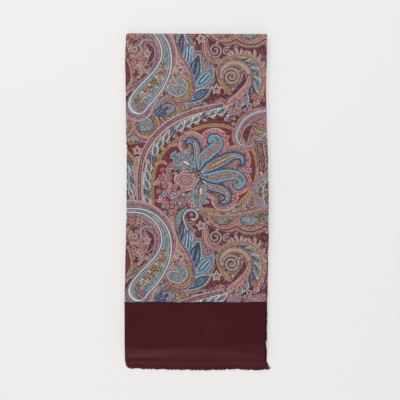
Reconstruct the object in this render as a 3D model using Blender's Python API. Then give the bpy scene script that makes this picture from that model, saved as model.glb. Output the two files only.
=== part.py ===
"""A printed silk scarf with plain fringed ends, folded in half along its length and then in four across it.

Seen from above, +X is the folded scarf's width, +Y runs from the fringed end to the top fold, and +Z is up.
The origin is the middle of the folded scarf, on the surface that it lies on.
Sizes are in millimetres, and MM turns them into Blender's metres.
"""

import math
import random
from collections import namedtuple

import bmesh
import bpy
from mathutils import Vector

MM = 0.001

# The cloth and how it is folded
PLY = 1.0
GAP = 0.3
DOUBLE = 2 * PLY + GAP
FOLD = DOUBLE / 2
EDGE_ROUND = 0.25
UNDER_PLY = 0.75
UNDER_PLIES = 6
UNDER = UNDER_PLY * UNDER_PLIES
TOP = UNDER + GAP + DOUBLE

# Places along the scarf's length
TOP_END = 192.8
TOP_TILT = 0.8
CORNER_DROP = 2.2
CORNER_REACH = 3.0
TAIL_END = 185.0
SEAM = -114.6
UNDER_END = -159.2
UNDER_TOP_END = 191.4
BAND_END = -181.9
DRAPE_START = -158.5
DRAPE_END = -177.5
HEM_SETTLE = 12.0

# The turn over the top, from the first stretch to the second
TURN = DOUBLE + GAP / 2

# How finely the cloth is divided
UPPER_SPANS = 12
LOWER_SPANS = 4
FOLD_SPANS = 5
TURN_SPANS = 6
PANEL_RINGS = 14
BAND_FLAT_RINGS = 4
DRAPE_RINGS = 9
LAST_RINGS = 2

# Where the side edges run: the fold on the left, the upper layer's hem and the layers under it on the right
Edge = namedtuple("Edge", "along left right under_right")
EDGES = (
    Edge(-183.0, -82.9, 76.8, 79.6),
    Edge(-148.0, -83.0, 77.2, 79.9),
    Edge(-111.0, -83.1, 77.8, 80.1),
    Edge(-74.0, -82.3, 79.3, 80.8),
    Edge(-38.0, -81.4, 80.9, 81.6),
    Edge(-1.0, -80.8, 81.4, 80.9),
    Edge(45.0, -80.6, 80.7, 79.9),
    Edge(91.0, -81.4, 79.2, 78.6),
    Edge(127.0, -81.8, 78.4, 77.9),
    Edge(163.0, -82.4, 79.2, 78.6),
    Edge(190.0, -81.4, 79.4, 78.6),
)

# Soft ridges in the upper layer: middle, heading in degrees from +X, half length, half width and height
Ridge = namedtuple("Ridge", "x y heading length width height")
RIDGES = (
    Ridge(-38.0, 128.0, 22.0, 70.0, 20.0, 0.6),
    Ridge(34.0, 62.0, -35.0, 80.0, 18.0, 0.6),
    Ridge(-30.0, -22.0, 65.0, 70.0, 20.0, 0.5),
    Ridge(40.0, -84.0, 15.0, 60.0, 16.0, 0.5),
    Ridge(-20.0, -132.0, 4.0, 75.0, 9.0, 0.5),
    Ridge(-52.0, -168.0, 3.0, 42.0, 6.0, 1.0),
    Ridge(34.0, -170.0, -3.0, 60.0, 7.0, 0.8),
    Ridge(6.0, -163.0, 58.0, 12.0, 3.5, 0.6),
)
RIDGE_FADE = 9.0

# The hidden layers: how far each ply's hem, each lengthways fold and each end stands back
HEM_INSETS = (0.9, 0.2, 1.3, 0.5, 1.0, 0.0)
FOLD_INSETS = (0.9, 1.5, 0.6)
GROOVE = 0.5
PLY_SOFT = 0.12
FAR_END_INSET = 6.0
UNDER_CORNER = 0.9
UNDER_END_CLEAR = 9.0
LOW_TURN = 0.9
LOW_TURN_TOP = 1.8
NOTCH_LEVEL = 1.85

# The fringe
Tip = namedtuple("Tip", "x along")
TIPS = (
    Tip(-83.0, -189.4),
    Tip(-76.0, -190.6),
    Tip(-58.0, -191.3),
    Tip(-28.0, -192.0),
    Tip(5.0, -192.6),
    Tip(26.0, -192.3),
    Tip(41.0, -191.3),
    Tip(60.0, -192.4),
    Tip(76.0, -192.6),
    Tip(84.0, -191.4),
)
Fringe = namedtuple("Fringe", "name locks left right height tip_height seed")
FRINGES = (
    Fringe("end_fringe_upper", 96, EDGES[0].left + 0.6, EDGES[0].right, 1.75, 1.25, 3),
    Fringe("end_fringe_lower", 88, EDGES[0].left + 1.0, EDGES[0].under_right, 0.55, 0.5, 8),
)
FRINGE_ROOT = BAND_END - GAP
STRIP_DEPTH = 1.0
STRIP_HEIGHT = 0.7
STRIP_MARGIN = 0.3
LOCK_SHARE = 0.68
LOCK_MIDDLE = 0.72
LOCK_NARROWING = 0.82
FLARE = 5.0
FLARE_START = 66.0
CURL = 2.2
CURL_REACH = 9.0
TIP_SCATTER = 0.35
SIDE_SCATTER = 0.16

# Linear colours of the cloth, taken together where it is printed
PRINT_COLOUR = (0.230, 0.167, 0.172, 1.0)
BAND_COLOUR = (0.058, 0.0144, 0.0176, 1.0)
FRINGE_COLOUR = (0.076, 0.017, 0.021, 1.0)


def mix(start, end, share):
    return start + (end - start) * share


def ease(share):
    share = min(max(share, 0.0), 1.0)
    return share * share * (3 - 2 * share)


def along_rows(rows, at, wanted):
    """The named column of a table whose first column is at this value, eased from row to row."""
    if at <= rows[0][0]:
        return getattr(rows[0], wanted)
    for before, after in zip(rows, rows[1:]):
        if at <= after[0]:
            share = ease((at - before[0]) / (after[0] - before[0]))
            return mix(getattr(before, wanted), getattr(after, wanted), share)
    return getattr(rows[-1], wanted)


def edge(along, side):
    return along_rows(EDGES, along, side)


def lift(x, along):
    """How far the ridges raise the upper layer at this place."""
    height = 0.0
    for ridge in RIDGES:
        heading = math.radians(ridge.heading)
        across, up = x - ridge.x, along - ridge.y
        run = across * math.cos(heading) + up * math.sin(heading)
        side = up * math.cos(heading) - across * math.sin(heading)
        height += ridge.height * math.exp(-((run / ridge.length) ** 2) - (side / ridge.width) ** 2)
    from_fold = ease((x - edge(along, "left") - FOLD) / RIDGE_FADE)
    from_top = ease((TOP_END - TURN - along) / RIDGE_FADE)
    return height * from_fold * from_top


def top_at(along):
    """Height of the cloth's upper side: level on the stack, and down to the surface past its end."""
    return mix(TOP, DOUBLE, ease((DRAPE_START - along) / (DRAPE_START - DRAPE_END)))


def top_end_at(x):
    """Where the top fold ends: nearly straight, with a soft corner on the folded side."""
    left, right = edge(TOP_END, "left"), edge(TOP_END, "right")
    tilt = TOP_TILT * (x - left) / (right - left)
    corner = max(0.0, 1 - (x - left) / CORNER_REACH)
    return TOP_END - tilt - CORNER_DROP * corner * corner


def double_wall(left, right, lower_right):
    """Outer and inner points (x, depth) of the doubled cloth, from the upper hem to the lower one."""
    fold_x = left + FOLD
    pairs = [((right, EDGE_ROUND), (right, PLY - EDGE_ROUND))]
    across = [mix(right - EDGE_ROUND, fold_x, i / UPPER_SPANS) for i in range(UPPER_SPANS + 1)]
    across.insert(UPPER_SPANS, fold_x + CORNER_REACH)
    pairs += [((x, 0.0), (x, PLY)) for x in across]
    for i in range(1, FOLD_SPANS):
        turn = math.pi * i / FOLD_SPANS
        out, up = math.sin(turn), math.cos(turn)
        outer = (fold_x - FOLD * out, FOLD - FOLD * up)
        inner = (fold_x - GAP / 2 * out, FOLD - GAP / 2 * up)
        pairs.append((outer, inner))
    for i in range(LOWER_SPANS + 1):
        x = mix(fold_x, lower_right - EDGE_ROUND, i / LOWER_SPANS)
        pairs.append(((x, DOUBLE), (x, DOUBLE - PLY)))
    last = lower_right
    pairs.append(((last, DOUBLE - EDGE_ROUND), (last, DOUBLE - PLY + EDGE_ROUND)))
    return pairs


def lower_hem(along):
    """Where the lower layer's hem runs: halfway from the upper one's to the stack's, and wider at the end."""
    right, under = edge(along, "right"), edge(along, "under_right")
    past_stack = ease((UNDER_END - along) / HEM_SETTLE)
    return mix(mix(right, under, 0.5), under, past_stack)


def laid(point, along):
    """A point (x, depth) of the doubled cloth where it lies flat, raised by the ridges in its upper layer."""
    x, depth = point
    raised = lift(x, along) if depth <= PLY else 0.0
    return (x, along, top_at(along) - depth + raised)


def flat_ring(along):
    pairs = double_wall(edge(along, "left"), edge(along, "right"), lower_hem(along))
    return [(laid(outer, along), laid(inner, along)) for outer, inner in pairs]


def turned_ring(angle, back=0.0):
    """The doubled cloth part of the way round the top turn, or past it by going back under itself."""
    pairs = double_wall(edge(TOP_END, "left"), edge(TOP_END, "right"), lower_hem(TOP_END))

    def place(point):
        x, depth = point
        radius = TURN - depth
        middle = top_end_at(x) - TURN
        along = middle + radius * math.sin(angle)
        if back:
            along = mix(middle, TAIL_END, back)
        return (x, along, TOP - TURN + radius * math.cos(angle))

    return [(place(outer), place(inner)) for outer, inner in pairs]


def add_material(obj, colour, roughness):
    material = bpy.data.materials.new(obj.name)
    material.use_nodes = True
    shader = material.node_tree.nodes["Principled BSDF"]
    shader.inputs["Base Color"].default_value = colour
    shader.inputs["Roughness"].default_value = roughness
    shader.inputs["Metallic"].default_value = 0.0
    obj.data.materials.append(material)


def finish_object(name, shape, colour, roughness):
    """Turns the shape into a named object with its faces outwards."""
    bmesh.ops.recalc_face_normals(shape, faces=shape.faces)
    mesh = bpy.data.meshes.new(name)
    shape.to_mesh(mesh)
    shape.free()
    mesh.shade_smooth()
    mesh.set_sharp_from_angle(angle=math.radians(50))
    obj = bpy.data.objects.new(name, mesh)
    bpy.context.collection.objects.link(obj)
    add_material(obj, colour, roughness)
    return obj


def solid_from_rings(name, rings, colour, roughness):
    """A closed solid through rings of point pairs.

    Each ring runs along its pairs' first points and back along their second ones.
    The first and last rings are closed by strips between the pairs.
    """
    shape = bmesh.new()
    loops = []
    for ring in rings:
        points = [first for first, _ in ring] + [second for _, second in reversed(ring)]
        loops.append([shape.verts.new(Vector(point) * MM) for point in points])
    count = len(loops[0])
    for near, far in zip(loops, loops[1:]):
        for i in range(count):
            j = (i + 1) % count
            shape.faces.new((near[i], near[j], far[j], far[i]))
    for loop in (loops[0], loops[-1]):
        for i in range(count // 2 - 1):
            shape.faces.new((loop[i], loop[i + 1], loop[count - 2 - i], loop[count - 1 - i]))
    return finish_object(name, shape, colour, roughness)


def printed_panel():
    """The top stretch of the printed cloth, from the seam over the top turn and a little way back under."""
    start, end = SEAM + GAP / 2, TOP_END - TURN - RIDGE_FADE
    rings = [flat_ring(mix(start, end, i / PANEL_RINGS)) for i in range(PANEL_RINGS + 1)]
    rings += [turned_ring(math.pi * i / TURN_SPANS) for i in range(TURN_SPANS + 1)]
    rings.append(turned_ring(math.pi, back=1.0))
    return solid_from_rings("printed_panel", rings, PRINT_COLOUR, 0.6)


def end_band():
    """The plain end, sewn to the panel: level as far as the stack reaches, then down to the surface."""
    start = SEAM - GAP / 2
    places = [mix(start, DRAPE_START, i / BAND_FLAT_RINGS) for i in range(BAND_FLAT_RINGS)]
    places += [mix(DRAPE_START, DRAPE_END, i / DRAPE_RINGS) for i in range(DRAPE_RINGS)]
    places += [mix(DRAPE_END, BAND_END, i / LAST_RINGS) for i in range(LAST_RINGS + 1)]
    rings = [flat_ring(along) for along in places]
    return solid_from_rings("end_band", rings, BAND_COLOUR, 0.5)


def under_levels():
    """Heights of the hidden layers' outlines, each with how deep a groove it is and the ply it is on."""
    levels = [(0.0, EDGE_ROUND, 0)]
    for ply in range(UNDER_PLIES):
        low, high = ply * UNDER_PLY, (ply + 1) * UNDER_PLY
        levels.append((low + PLY_SOFT, 0.0, ply))
        if low < NOTCH_LEVEL < high:
            levels.append((NOTCH_LEVEL, 0.0, ply))
        levels.append((high - PLY_SOFT, 0.0, ply))
        if ply < UNDER_PLIES - 1:
            levels.append((high, GROOVE, ply))
    levels.append((UNDER, EDGE_ROUND, UNDER_PLIES - 1))
    return levels


def round_inset(height, middle, radius):
    """How far a round edge of this radius stands back at this height."""
    rise = min(abs(height - middle), radius)
    return radius - math.sqrt(radius * radius - rise * rise)


def under_ring(height, groove, ply):
    """The outline of the hidden layers at one height: hems on the right, lengthways folds on the left."""
    stretch = ply // 2
    fold_middle = (2 * stretch + 1) * UNDER_PLY
    hem_in = HEM_INSETS[ply] + groove
    fold_in = FOLD_INSETS[stretch] + round_inset(height, fold_middle, UNDER_PLY)
    if height < LOW_TURN_TOP:
        far = UNDER_TOP_END - round_inset(height, LOW_TURN, LOW_TURN)
    else:
        far = TAIL_END - GAP
    if height < 2 * UNDER_PLY:
        near = UNDER_END + FAR_END_INSET
    else:
        turn = (UNDER - 2 * UNDER_PLY) / 2
        near = UNDER_END + round_inset(height, UNDER - turn, turn)
    lowest, highest = UNDER_END + UNDER_END_CLEAR, TAIL_END - UNDER_END_CLEAR
    inner = [row.along for row in EDGES if lowest < row.along < highest]
    places = [near, near + UNDER_CORNER] + inner + [far - UNDER_CORNER, far]
    pairs = []
    for i, along in enumerate(places):
        corner = UNDER_CORNER if i in (0, len(places) - 1) else 0.0
        right = edge(along, "under_right") - hem_in - corner / 2
        left = edge(along, "left") + fold_in + corner
        pairs.append(((right, along, height), (left, along, height)))
    return pairs


def folded_layers():
    """The three stretches under the top one, as one rounded solid with its plies showing at the edges."""
    rings = [under_ring(*level) for level in under_levels()]
    return solid_from_rings("folded_layers", rings, PRINT_COLOUR, 0.6)


def lock_lean(x):
    """How far a lock's tip leans sideways: out at the free corner and in at the folded one."""
    out = FLARE * ease((x - FLARE_START) / (EDGES[0].under_right - FLARE_START))
    inwards = CURL * ease(1 - (x - EDGES[0].left) / CURL_REACH)
    return out + inwards


def fringe(row):
    """Tapered locks whose roots are fused in one narrow strip, just past the end of one layer of cloth."""
    scatter = random.Random(row.seed)
    back, front = FRINGE_ROOT, FRINGE_ROOT - STRIP_DEPTH
    low, high = row.height - STRIP_HEIGHT / 2, row.height + STRIP_HEIGHT / 2
    shape = bmesh.new()

    def section(x):
        corners = ((x, back, high), (x, back, low), (x, front, low), (x, front, high))
        return [shape.verts.new(Vector(corner) * MM) for corner in corners]

    def lock(root, middle):
        """One lock grown from the four points of its root."""
        tip_x = middle + lock_lean(middle) + scatter.uniform(-SIDE_SCATTER, SIDE_SCATTER)
        tip_y = along_rows(TIPS, middle, "along") + scatter.uniform(0, TIP_SCATTER)
        tip = Vector((tip_x, tip_y, row.tip_height)) * MM
        start = sum((vert.co for vert in root), Vector()) / len(root)
        ring = []
        for vert in root:
            spread = (vert.co - start) * LOCK_NARROWING
            ring.append(shape.verts.new(start.lerp(tip, LOCK_MIDDLE) + spread))
        point = shape.verts.new(tip)
        for i in range(4):
            j = (i + 1) % 4
            shape.faces.new((root[i], root[j], ring[j], ring[i]))
            shape.faces.new((ring[i], ring[j], point))

    pitch = (row.right - row.left - 2 * STRIP_MARGIN) / row.locks
    half = pitch * LOCK_SHARE / 2
    last = section(row.left)
    shape.faces.new(last)
    for i in range(row.locks):
        middle = row.left + STRIP_MARGIN + (i + 0.5) * pitch
        start, end = section(middle - half), section(middle + half)
        for a, b, open_front in ((last, start, False), (start, end, True)):
            shape.faces.new((a[0], b[0], b[1], a[1]))
            shape.faces.new((a[1], b[1], b[2], a[2]))
            shape.faces.new((a[3], b[3], b[0], a[0]))
            if not open_front:
                shape.faces.new((a[2], b[2], b[3], a[3]))
        lock((start[2], end[2], end[3], start[3]), middle)
        last = end
    final = section(row.right)
    for i in range(4):
        j = (i + 1) % 4
        shape.faces.new((last[i], final[i], final[j], last[j]))
    shape.faces.new(final)
    return finish_object(row.name, shape, FRINGE_COLOUR, 0.7)


def put_origin_under_middle(pieces):
    """Hangs the pieces on an empty that brings the middle of their outline over the origin."""
    corners = [Vector(corner) for piece in pieces for corner in piece.bound_box]
    middle = [(min(c[i] for c in corners) + max(c[i] for c in corners)) / 2 for i in range(2)]
    holder = bpy.data.objects.new("scarf", None)
    bpy.context.collection.objects.link(holder)
    holder.location = (-middle[0], -middle[1], 0.0)
    for piece in pieces:
        piece.parent = holder


def main():
    for obj in list(bpy.data.objects):
        bpy.data.objects.remove(obj, do_unlink=True)
    pieces = [printed_panel(), end_band(), folded_layers()] + [fringe(row) for row in FRINGES]
    put_origin_under_middle(pieces)


main()
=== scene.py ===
import math
import random
from collections import namedtuple

import bpy
import numpy as np
from mathutils.geometry import delaunay_2d_cdt
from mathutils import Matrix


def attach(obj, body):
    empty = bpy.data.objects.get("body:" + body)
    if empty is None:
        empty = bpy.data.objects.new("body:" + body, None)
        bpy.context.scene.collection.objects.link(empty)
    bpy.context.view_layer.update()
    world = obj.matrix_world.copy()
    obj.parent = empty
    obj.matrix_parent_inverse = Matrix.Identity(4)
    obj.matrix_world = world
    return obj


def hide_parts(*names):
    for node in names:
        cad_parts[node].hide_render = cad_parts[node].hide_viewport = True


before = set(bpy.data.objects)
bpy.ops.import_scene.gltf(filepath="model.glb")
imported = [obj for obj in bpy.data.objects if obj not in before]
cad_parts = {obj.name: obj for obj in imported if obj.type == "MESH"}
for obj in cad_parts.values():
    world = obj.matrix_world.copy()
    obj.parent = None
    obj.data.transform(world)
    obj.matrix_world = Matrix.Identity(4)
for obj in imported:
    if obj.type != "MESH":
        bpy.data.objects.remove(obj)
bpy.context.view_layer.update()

# Sizes are in millimetres, and MM turns them into Blender's metres
MM = 0.001

# The cloth and how it is folded
DOUBLE = 2.3
FOLD = DOUBLE / 2
UNDER_PLY = 0.75
UNDER_PLIES = 6
UNDER = UNDER_PLY * UNDER_PLIES
TOP = 7.1
TURN = 2.45

# Places along the scarf's length
TOP_END = 192.7
TOP_TILT = 0.8
CORNER_DROP = 2.2
CORNER_REACH = 3.0
TAIL_END = 185.0
SEAM = -114.7
UNDER_END = -159.3
UNDER_TOP_END = 191.3
BAND_END = -182.0
DRAPE_START = -158.6
DRAPE_EASE = 0.8
HEM_SETTLE = 12.0
RIDGE_FADE = 9.0

# Where the side edges run: the fold on the left, the upper layer's hem and the layers under it on the right
Edge = namedtuple("Edge", "along left right under_right")
EDGES = (
    Edge(-183.0, -82.9, 76.8, 79.6),
    Edge(-148.0, -83.0, 77.2, 79.9),
    Edge(-111.0, -83.1, 77.8, 80.1),
    Edge(-74.0, -82.3, 79.3, 80.8),
    Edge(-38.0, -81.4, 80.9, 81.6),
    Edge(-1.0, -80.8, 81.4, 80.9),
    Edge(45.0, -80.6, 80.7, 79.9),
    Edge(91.0, -81.4, 79.2, 78.6),
    Edge(127.0, -81.8, 78.4, 77.9),
    Edge(163.0, -82.4, 79.2, 78.6),
    Edge(190.0, -81.4, 79.4, 78.6),
)

# Soft ridges in the upper layer: middle, heading in degrees from +X, half length, half width and height
Ridge = namedtuple("Ridge", "x y heading length width height")
RIDGES = (
    Ridge(-38.0, 128.0, 22.0, 70.0, 20.0, 0.6),
    Ridge(34.0, 62.0, -35.0, 80.0, 18.0, 0.6),
    Ridge(-30.0, -22.0, 65.0, 70.0, 20.0, 0.5),
    Ridge(40.0, -84.0, 15.0, 60.0, 16.0, 0.5),
    Ridge(-20.0, -132.0, 4.0, 75.0, 9.0, 0.5),
    Ridge(-52.0, -168.0, 3.0, 42.0, 6.0, 1.0),
    Ridge(34.0, -170.0, -3.0, 60.0, 7.0, 0.45),
    Ridge(6.0, -163.0, 58.0, 12.0, 3.5, 0.6),
)


def ease(share):
    """A soft step from 0 to 1."""
    share = np.clip(share, 0.0, 1.0)
    return share * share * (3 - 2 * share)


def along_rows(rows, at, wanted):
    """The named column of a table whose first column is at these values, eased from row to row."""
    places = np.array([row[0] for row in rows])
    values = np.array([getattr(row, wanted) for row in rows])
    after = np.clip(np.searchsorted(places, at), 1, len(rows) - 1)
    share = ease((at - places[after - 1]) / (places[after] - places[after - 1]))
    return values[after - 1] + (values[after] - values[after - 1]) * share


def edge(along, side):
    """Where one of the scarf's side edges runs."""
    return along_rows(EDGES, along, side)


def relief(ridges, x, along):
    """How far these ridges raise the cloth."""
    height = 0.0
    for ridge in ridges:
        heading = math.radians(ridge.heading)
        across, up = x - ridge.x, along - ridge.y
        run = across * math.cos(heading) + up * math.sin(heading)
        side = up * math.cos(heading) - across * math.sin(heading)
        height = height + ridge.height * np.exp(-((run / ridge.length) ** 2) - (side / ridge.width) ** 2)
    return height


def lift(x, along):
    """How far the scarf's own ridges raise its upper layer."""
    from_fold = ease((x - edge(along, "left") - FOLD) / RIDGE_FADE)
    from_top = ease((TOP_END - TURN - along) / RIDGE_FADE)
    return relief(RIDGES, x, along) * from_fold * from_top


def top_at(along):
    """Height of the cloth's upper side: level on the stack, and down to the surface past its end."""
    share = np.clip((DRAPE_START - along) / (DRAPE_START - BAND_END), 0.0, 1.0)
    return TOP + (DOUBLE - TOP) * ease(share * DRAPE_EASE) / ease(DRAPE_EASE)


def top_end_at(x):
    """Where the top fold ends: nearly straight, with a soft corner on the folded side."""
    left, right = edge(TOP_END, "left"), edge(TOP_END, "right")
    tilt = TOP_TILT * (x - left) / (right - left)
    corner = np.clip(1 - (x - left) / CORNER_REACH, 0.0, 1.0)
    return TOP_END - tilt - CORNER_DROP * corner * corner


def folded(across, along, under=0.0):
    """Where a place on the flat cloth lies on the folded scarf, or this far inside its outer skin."""
    across, along = np.asarray(across, float), np.asarray(along, float)
    fold_x = edge(along, "left") + FOLD
    past = np.maximum(fold_x - across, 0.0)
    turn = np.minimum(past / FOLD, math.pi)
    x = np.where(past > 0, fold_x - (FOLD - under) * np.sin(turn) + (past - turn * FOLD), across)
    depth = FOLD - (FOLD - under) * np.cos(turn)
    raised = np.where(past > 0, 0.0, lift(across, along))
    middle = top_end_at(x) - TURN
    over = np.maximum(along - middle, 0.0)
    angle = np.minimum(over / TURN, math.pi)
    y = np.where(over > 0, middle + (TURN - depth) * np.sin(angle) - (over - angle * TURN), along)
    flat_z = top_at(along) - depth + raised
    z = np.where(over > 0, TOP - TURN + (TURN - depth) * np.cos(angle), flat_z)
    return np.stack([x, y, z], -1)


class Wire:
    """A shader socket that sums can be written with: each operator adds its Math node."""

    def __init__(self, tree, socket=None):
        self.tree = tree
        self.socket = socket

    def node(self, kind, settings=(), values=(), output=0):
        """Any node: its settings are set first, then its sockets' values or links."""
        made = self.tree.nodes.new(kind)
        for name, value in dict(settings).items():
            setattr(made, name, value)
        for name, value in dict(values).items():
            if isinstance(value, Wire):
                self.tree.links.new(value.socket, made.inputs[name])
            else:
                made.inputs[name].default_value = value
        return Wire(self.tree, made.outputs[output])

    def output(self, which):
        """Another output of the same node."""
        return Wire(self.tree, self.socket.node.outputs[which])

    def maths(self, operation, first, second=0.0):
        return self.node("ShaderNodeMath", {"operation": operation}, {0: first, 1: second})

    def __add__(self, other):
        return self.maths("ADD", self, other)

    def __radd__(self, other):
        return self.maths("ADD", other, self)

    def __sub__(self, other):
        return self.maths("SUBTRACT", self, other)

    def __rsub__(self, other):
        return self.maths("SUBTRACT", other, self)

    def __mul__(self, other):
        return self.maths("MULTIPLY", self, other)

    def __rmul__(self, other):
        return self.maths("MULTIPLY", other, self)

    def wave(self, pitch):
        """0 to 1 and back, once each pitch."""
        return self.maths("SINE", self * (2 * math.pi / pitch)) * 0.5 + 0.5

    def blended(self, first, second):
        """First colour to second, as this socket goes from 0 to 1."""
        settings = {"data_type": "RGBA", "clamp_result": True}
        return self.node("ShaderNodeMix", settings, {0: self, 6: first, 7: second}, 2)

    def noise(self, place, scale, detail):
        return self.node("ShaderNodeTexNoise", (), {"Vector": place, "Scale": scale, "Detail": detail})


def linear(colour):
    """A screen colour out of 255 as Blender's linear one."""
    parts = [part / 255 for part in colour]
    return tuple(p / 12.92 if p <= 0.04045 else ((p + 0.055) / 1.055) ** 2.4 for p in parts) + (1.0,)


# The print's finest work: the pitch of its buds, how far their parts reach, and the colours of them all
BUD_PITCH = 2.3
HEART_WITHIN = 0.17
PETALS_WITHIN = 0.44
GROUND_BEYOND = 0.5
PINK_BUD = (196, 160, 156)
BLUE_BUD = (138, 158, 172)
GOLD_BUD = (184, 154, 104)
BUD_HEART = (98, 50, 62)
BUD_GROUND = (66, 38, 46)

# Silk's weave, in millimetres: the pitch of its uneven yarn, of its soft clouding and the height of its ribs
YARN = 1.3
CLOUD = 38.0
RIB_HEIGHT = 0.12
RIB_SLANT = 0.6


def new_shader(name):
    """A new material and its main shader."""
    material = bpy.data.materials.new(name)
    material.use_nodes = True
    return material, material.node_tree.nodes["Principled BSDF"]


def finest_work(wire, place, colour, share):
    """The print's finest work over its dyes: small buds, each its own hue, with dark ground between."""
    settings = {"feature": "F1", "distance": "EUCLIDEAN"}
    values = {"Vector": place, "Scale": 1 / (BUD_PITCH * MM), "Randomness": 0.85}
    bud = wire.node("ShaderNodeTexVoronoi", settings, values)
    first = wire.node("ShaderNodeSeparateColor", (), {0: bud.output("Color")})
    second = first.output(1)
    between = bud.maths("GREATER_THAN", bud, GROUND_BEYOND)
    petals = bud.maths("LESS_THAN", bud, PETALS_WITHIN)
    heart = bud.maths("LESS_THAN", bud, HEART_WITHIN)
    hue = first.maths("GREATER_THAN", first, 0.55).blended(linear(PINK_BUD), linear(BLUE_BUD))
    hue = second.maths("GREATER_THAN", second, 0.76).blended(hue, linear(GOLD_BUD))
    colour = (between * share * 0.5).blended(colour, linear(BUD_GROUND))
    colour = (petals * share * 0.6).blended(colour, hue)
    return (heart * share * 0.7).blended(colour, linear(BUD_HEART))


def silk(name, colours, ribs=0.9, bump=0.25, roughness=0.5, metal=0.0, gloss=0.15):
    """Silk twill: fine slanting ribs and uneven yarn, over the print or between two colours."""
    material, shader = new_shader(name)
    tree = material.node_tree
    wire = Wire(tree)
    place = wire.node("ShaderNodeTexCoord", output=3)
    x = wire.node("ShaderNodeSeparateXYZ", (), {0: place})
    rib = (x + x.output(1) * RIB_SLANT).wave(ribs * MM)
    yarn = wire.noise(place, 1 / (YARN * MM), 3.0)
    cloud = wire.noise(place, 1 / (CLOUD * MM), 2.0)
    level = 0.82 + rib * 0.05 + yarn * 0.14 + (cloud - 0.5) * 0.08
    if colours:
        colour = cloud.blended(linear(colours[0]), linear(colours[1]))
    else:
        dye = wire.node("ShaderNodeAttribute", {"attribute_name": "print"})
        colour = finest_work(wire, place, dye, dye.output("Alpha"))
    shade = wire.node("ShaderNodeCombineColor", (), {0: level, 1: level, 2: level})
    multiply = {"data_type": "RGBA", "blend_type": "MULTIPLY"}
    base = wire.node("ShaderNodeMix", multiply, {0: 1.0, 6: colour, 7: shade}, 2)
    heights = {"Strength": bump, "Distance": RIB_HEIGHT * MM, "Height": rib * 0.6 + yarn * 0.5}
    tree.links.new(base.socket, shader.inputs["Base Color"])
    tree.links.new((roughness - 0.06 + yarn * 0.12).socket, shader.inputs["Roughness"])
    tree.links.new(wire.node("ShaderNodeBump", (), heights).socket, shader.inputs["Normal"])
    shader.inputs["Metallic"].default_value = metal
    shader.inputs["Specular IOR Level"].default_value = gloss
    return material


# The print is drawn on a cell of its own, in units that PRINT_UNIT turns into millimetres.
# Its x runs from the lengthways fold, its y from the seam, and it repeats every CELL units.
CELL = 186.0
REPEAT = 213.0
PRINT_UNIT = REPEAT / CELL
PRINT_LEFT = -82.9
PRINT_LOW = -114.5

# The dyes as screen colours, each with how far the finest work covers it
Dye = namedtuple("Dye", "colour stipple")
DYES = {
    "ground": Dye((100, 36, 50), 0.25),
    "burgundy": Dye((116, 40, 54), 0.12),
    "wine": Dye((76, 36, 48), 0.0),
    "crimson": Dye((150, 74, 88), 0.2),
    "rose": Dye((176, 124, 130), 0.75),
    "bed": Dye((136, 86, 94), 1.0),
    "dusty": Dye((190, 160, 160), 0.4),
    "pale": Dye((202, 182, 180), 0.2),
    "cream": Dye((212, 198, 182), 0.0),
    "white": Dye((212, 218, 222), 0.0),
    "mauve": Dye((150, 130, 144), 0.6),
    "grey": Dye((142, 148, 154), 0.9),
    "stone": Dye((146, 130, 120), 0.6),
    "slate": Dye((70, 72, 88), 0.2),
    "sky": Dye((134, 184, 204), 0.25),
    "blue": Dye((100, 156, 184), 0.45),
    "teal": Dye((112, 150, 158), 0.7),
    "navy": Dye((46, 64, 106), 0.1),
    "ochre": Dye((172, 138, 84), 0.5),
    "olive": Dye((122, 108, 74), 0.9),
    "brown": Dye((74, 50, 46), 0.1),
    "peach": Dye((198, 146, 130), 0.7),
    "brick": Dye((116, 42, 46), 0.0),
}
INK = {name: np.array(linear(dye.colour)[:3] + (dye.stipple,)) for name, dye in DYES.items()}


class Artwork:
    """Shapes painted one over another on the flat cloth, each with its repeats."""

    def __init__(self, left, right, low, high):
        self.reach = (left, right, low, high)
        self.outlines = []
        self.dyes = []

    def paint(self, outline, dye):
        """A closed shape in drawing units."""
        if outline is None or len(outline) < 3:
            return
        left, right, low, high = self.reach
        for repeat in (-1, 0, 1):
            shape = outline + np.array([0.0, repeat * CELL])
            if shape[:, 0].max() < left or shape[:, 0].min() > right:
                continue
            if shape[:, 1].max() < low or shape[:, 1].min() > high:
                continue
            self.outlines.append(shape)
            self.dyes.append(dye)

    def tops(self, places):
        """Which shape shows at each place, or -1 where none does."""
        top = np.full(len(places), -1)
        order = np.argsort(places[:, 1])
        across, along = places[order].T
        for index, outline in enumerate(self.outlines):
            low, high = outline.min(axis=0), outline.max(axis=0)
            first, last = np.searchsorted(along, (low[1], high[1]))
            near = first + np.flatnonzero((across[first:last] > low[0]) & (across[first:last] < high[0]))
            if len(near):
                near = order[near]
                top[near[inside(outline, places[near])]] = index
        return top

    def dye_at(self, places):
        """The linear colour at each place."""
        top = self.tops(places)
        dyes = np.array([INK[dye] for dye in self.dyes] + [INK["ground"]])
        return dyes[top]

    def drop_covered(self):
        """Forgets the shapes that later ones cover."""
        samples, owners = [], []
        for index, outline in enumerate(self.outlines):
            middle = outline.mean(axis=0)
            halfway = (outline + middle) / 2
            nearly = outline + (middle - outline) * 0.06
            for points in (middle[None], halfway[::2], nearly):
                samples.append(points)
                owners.append(np.full(len(points), index))
        samples, owners = np.vstack(samples), np.concatenate(owners)
        left, right, low, high = self.reach
        x, y = samples.T
        within = (x > left) & (x < right) & (y > low) & (y < high)
        samples, owners = samples[within], owners[within]
        seen = set(owners[self.tops(samples) == owners].tolist())
        self.outlines = [shape for index, shape in enumerate(self.outlines) if index in seen]
        self.dyes = [dye for index, dye in enumerate(self.dyes) if index in seen]


# How many places are tried at once
BATCH = 4000


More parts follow.
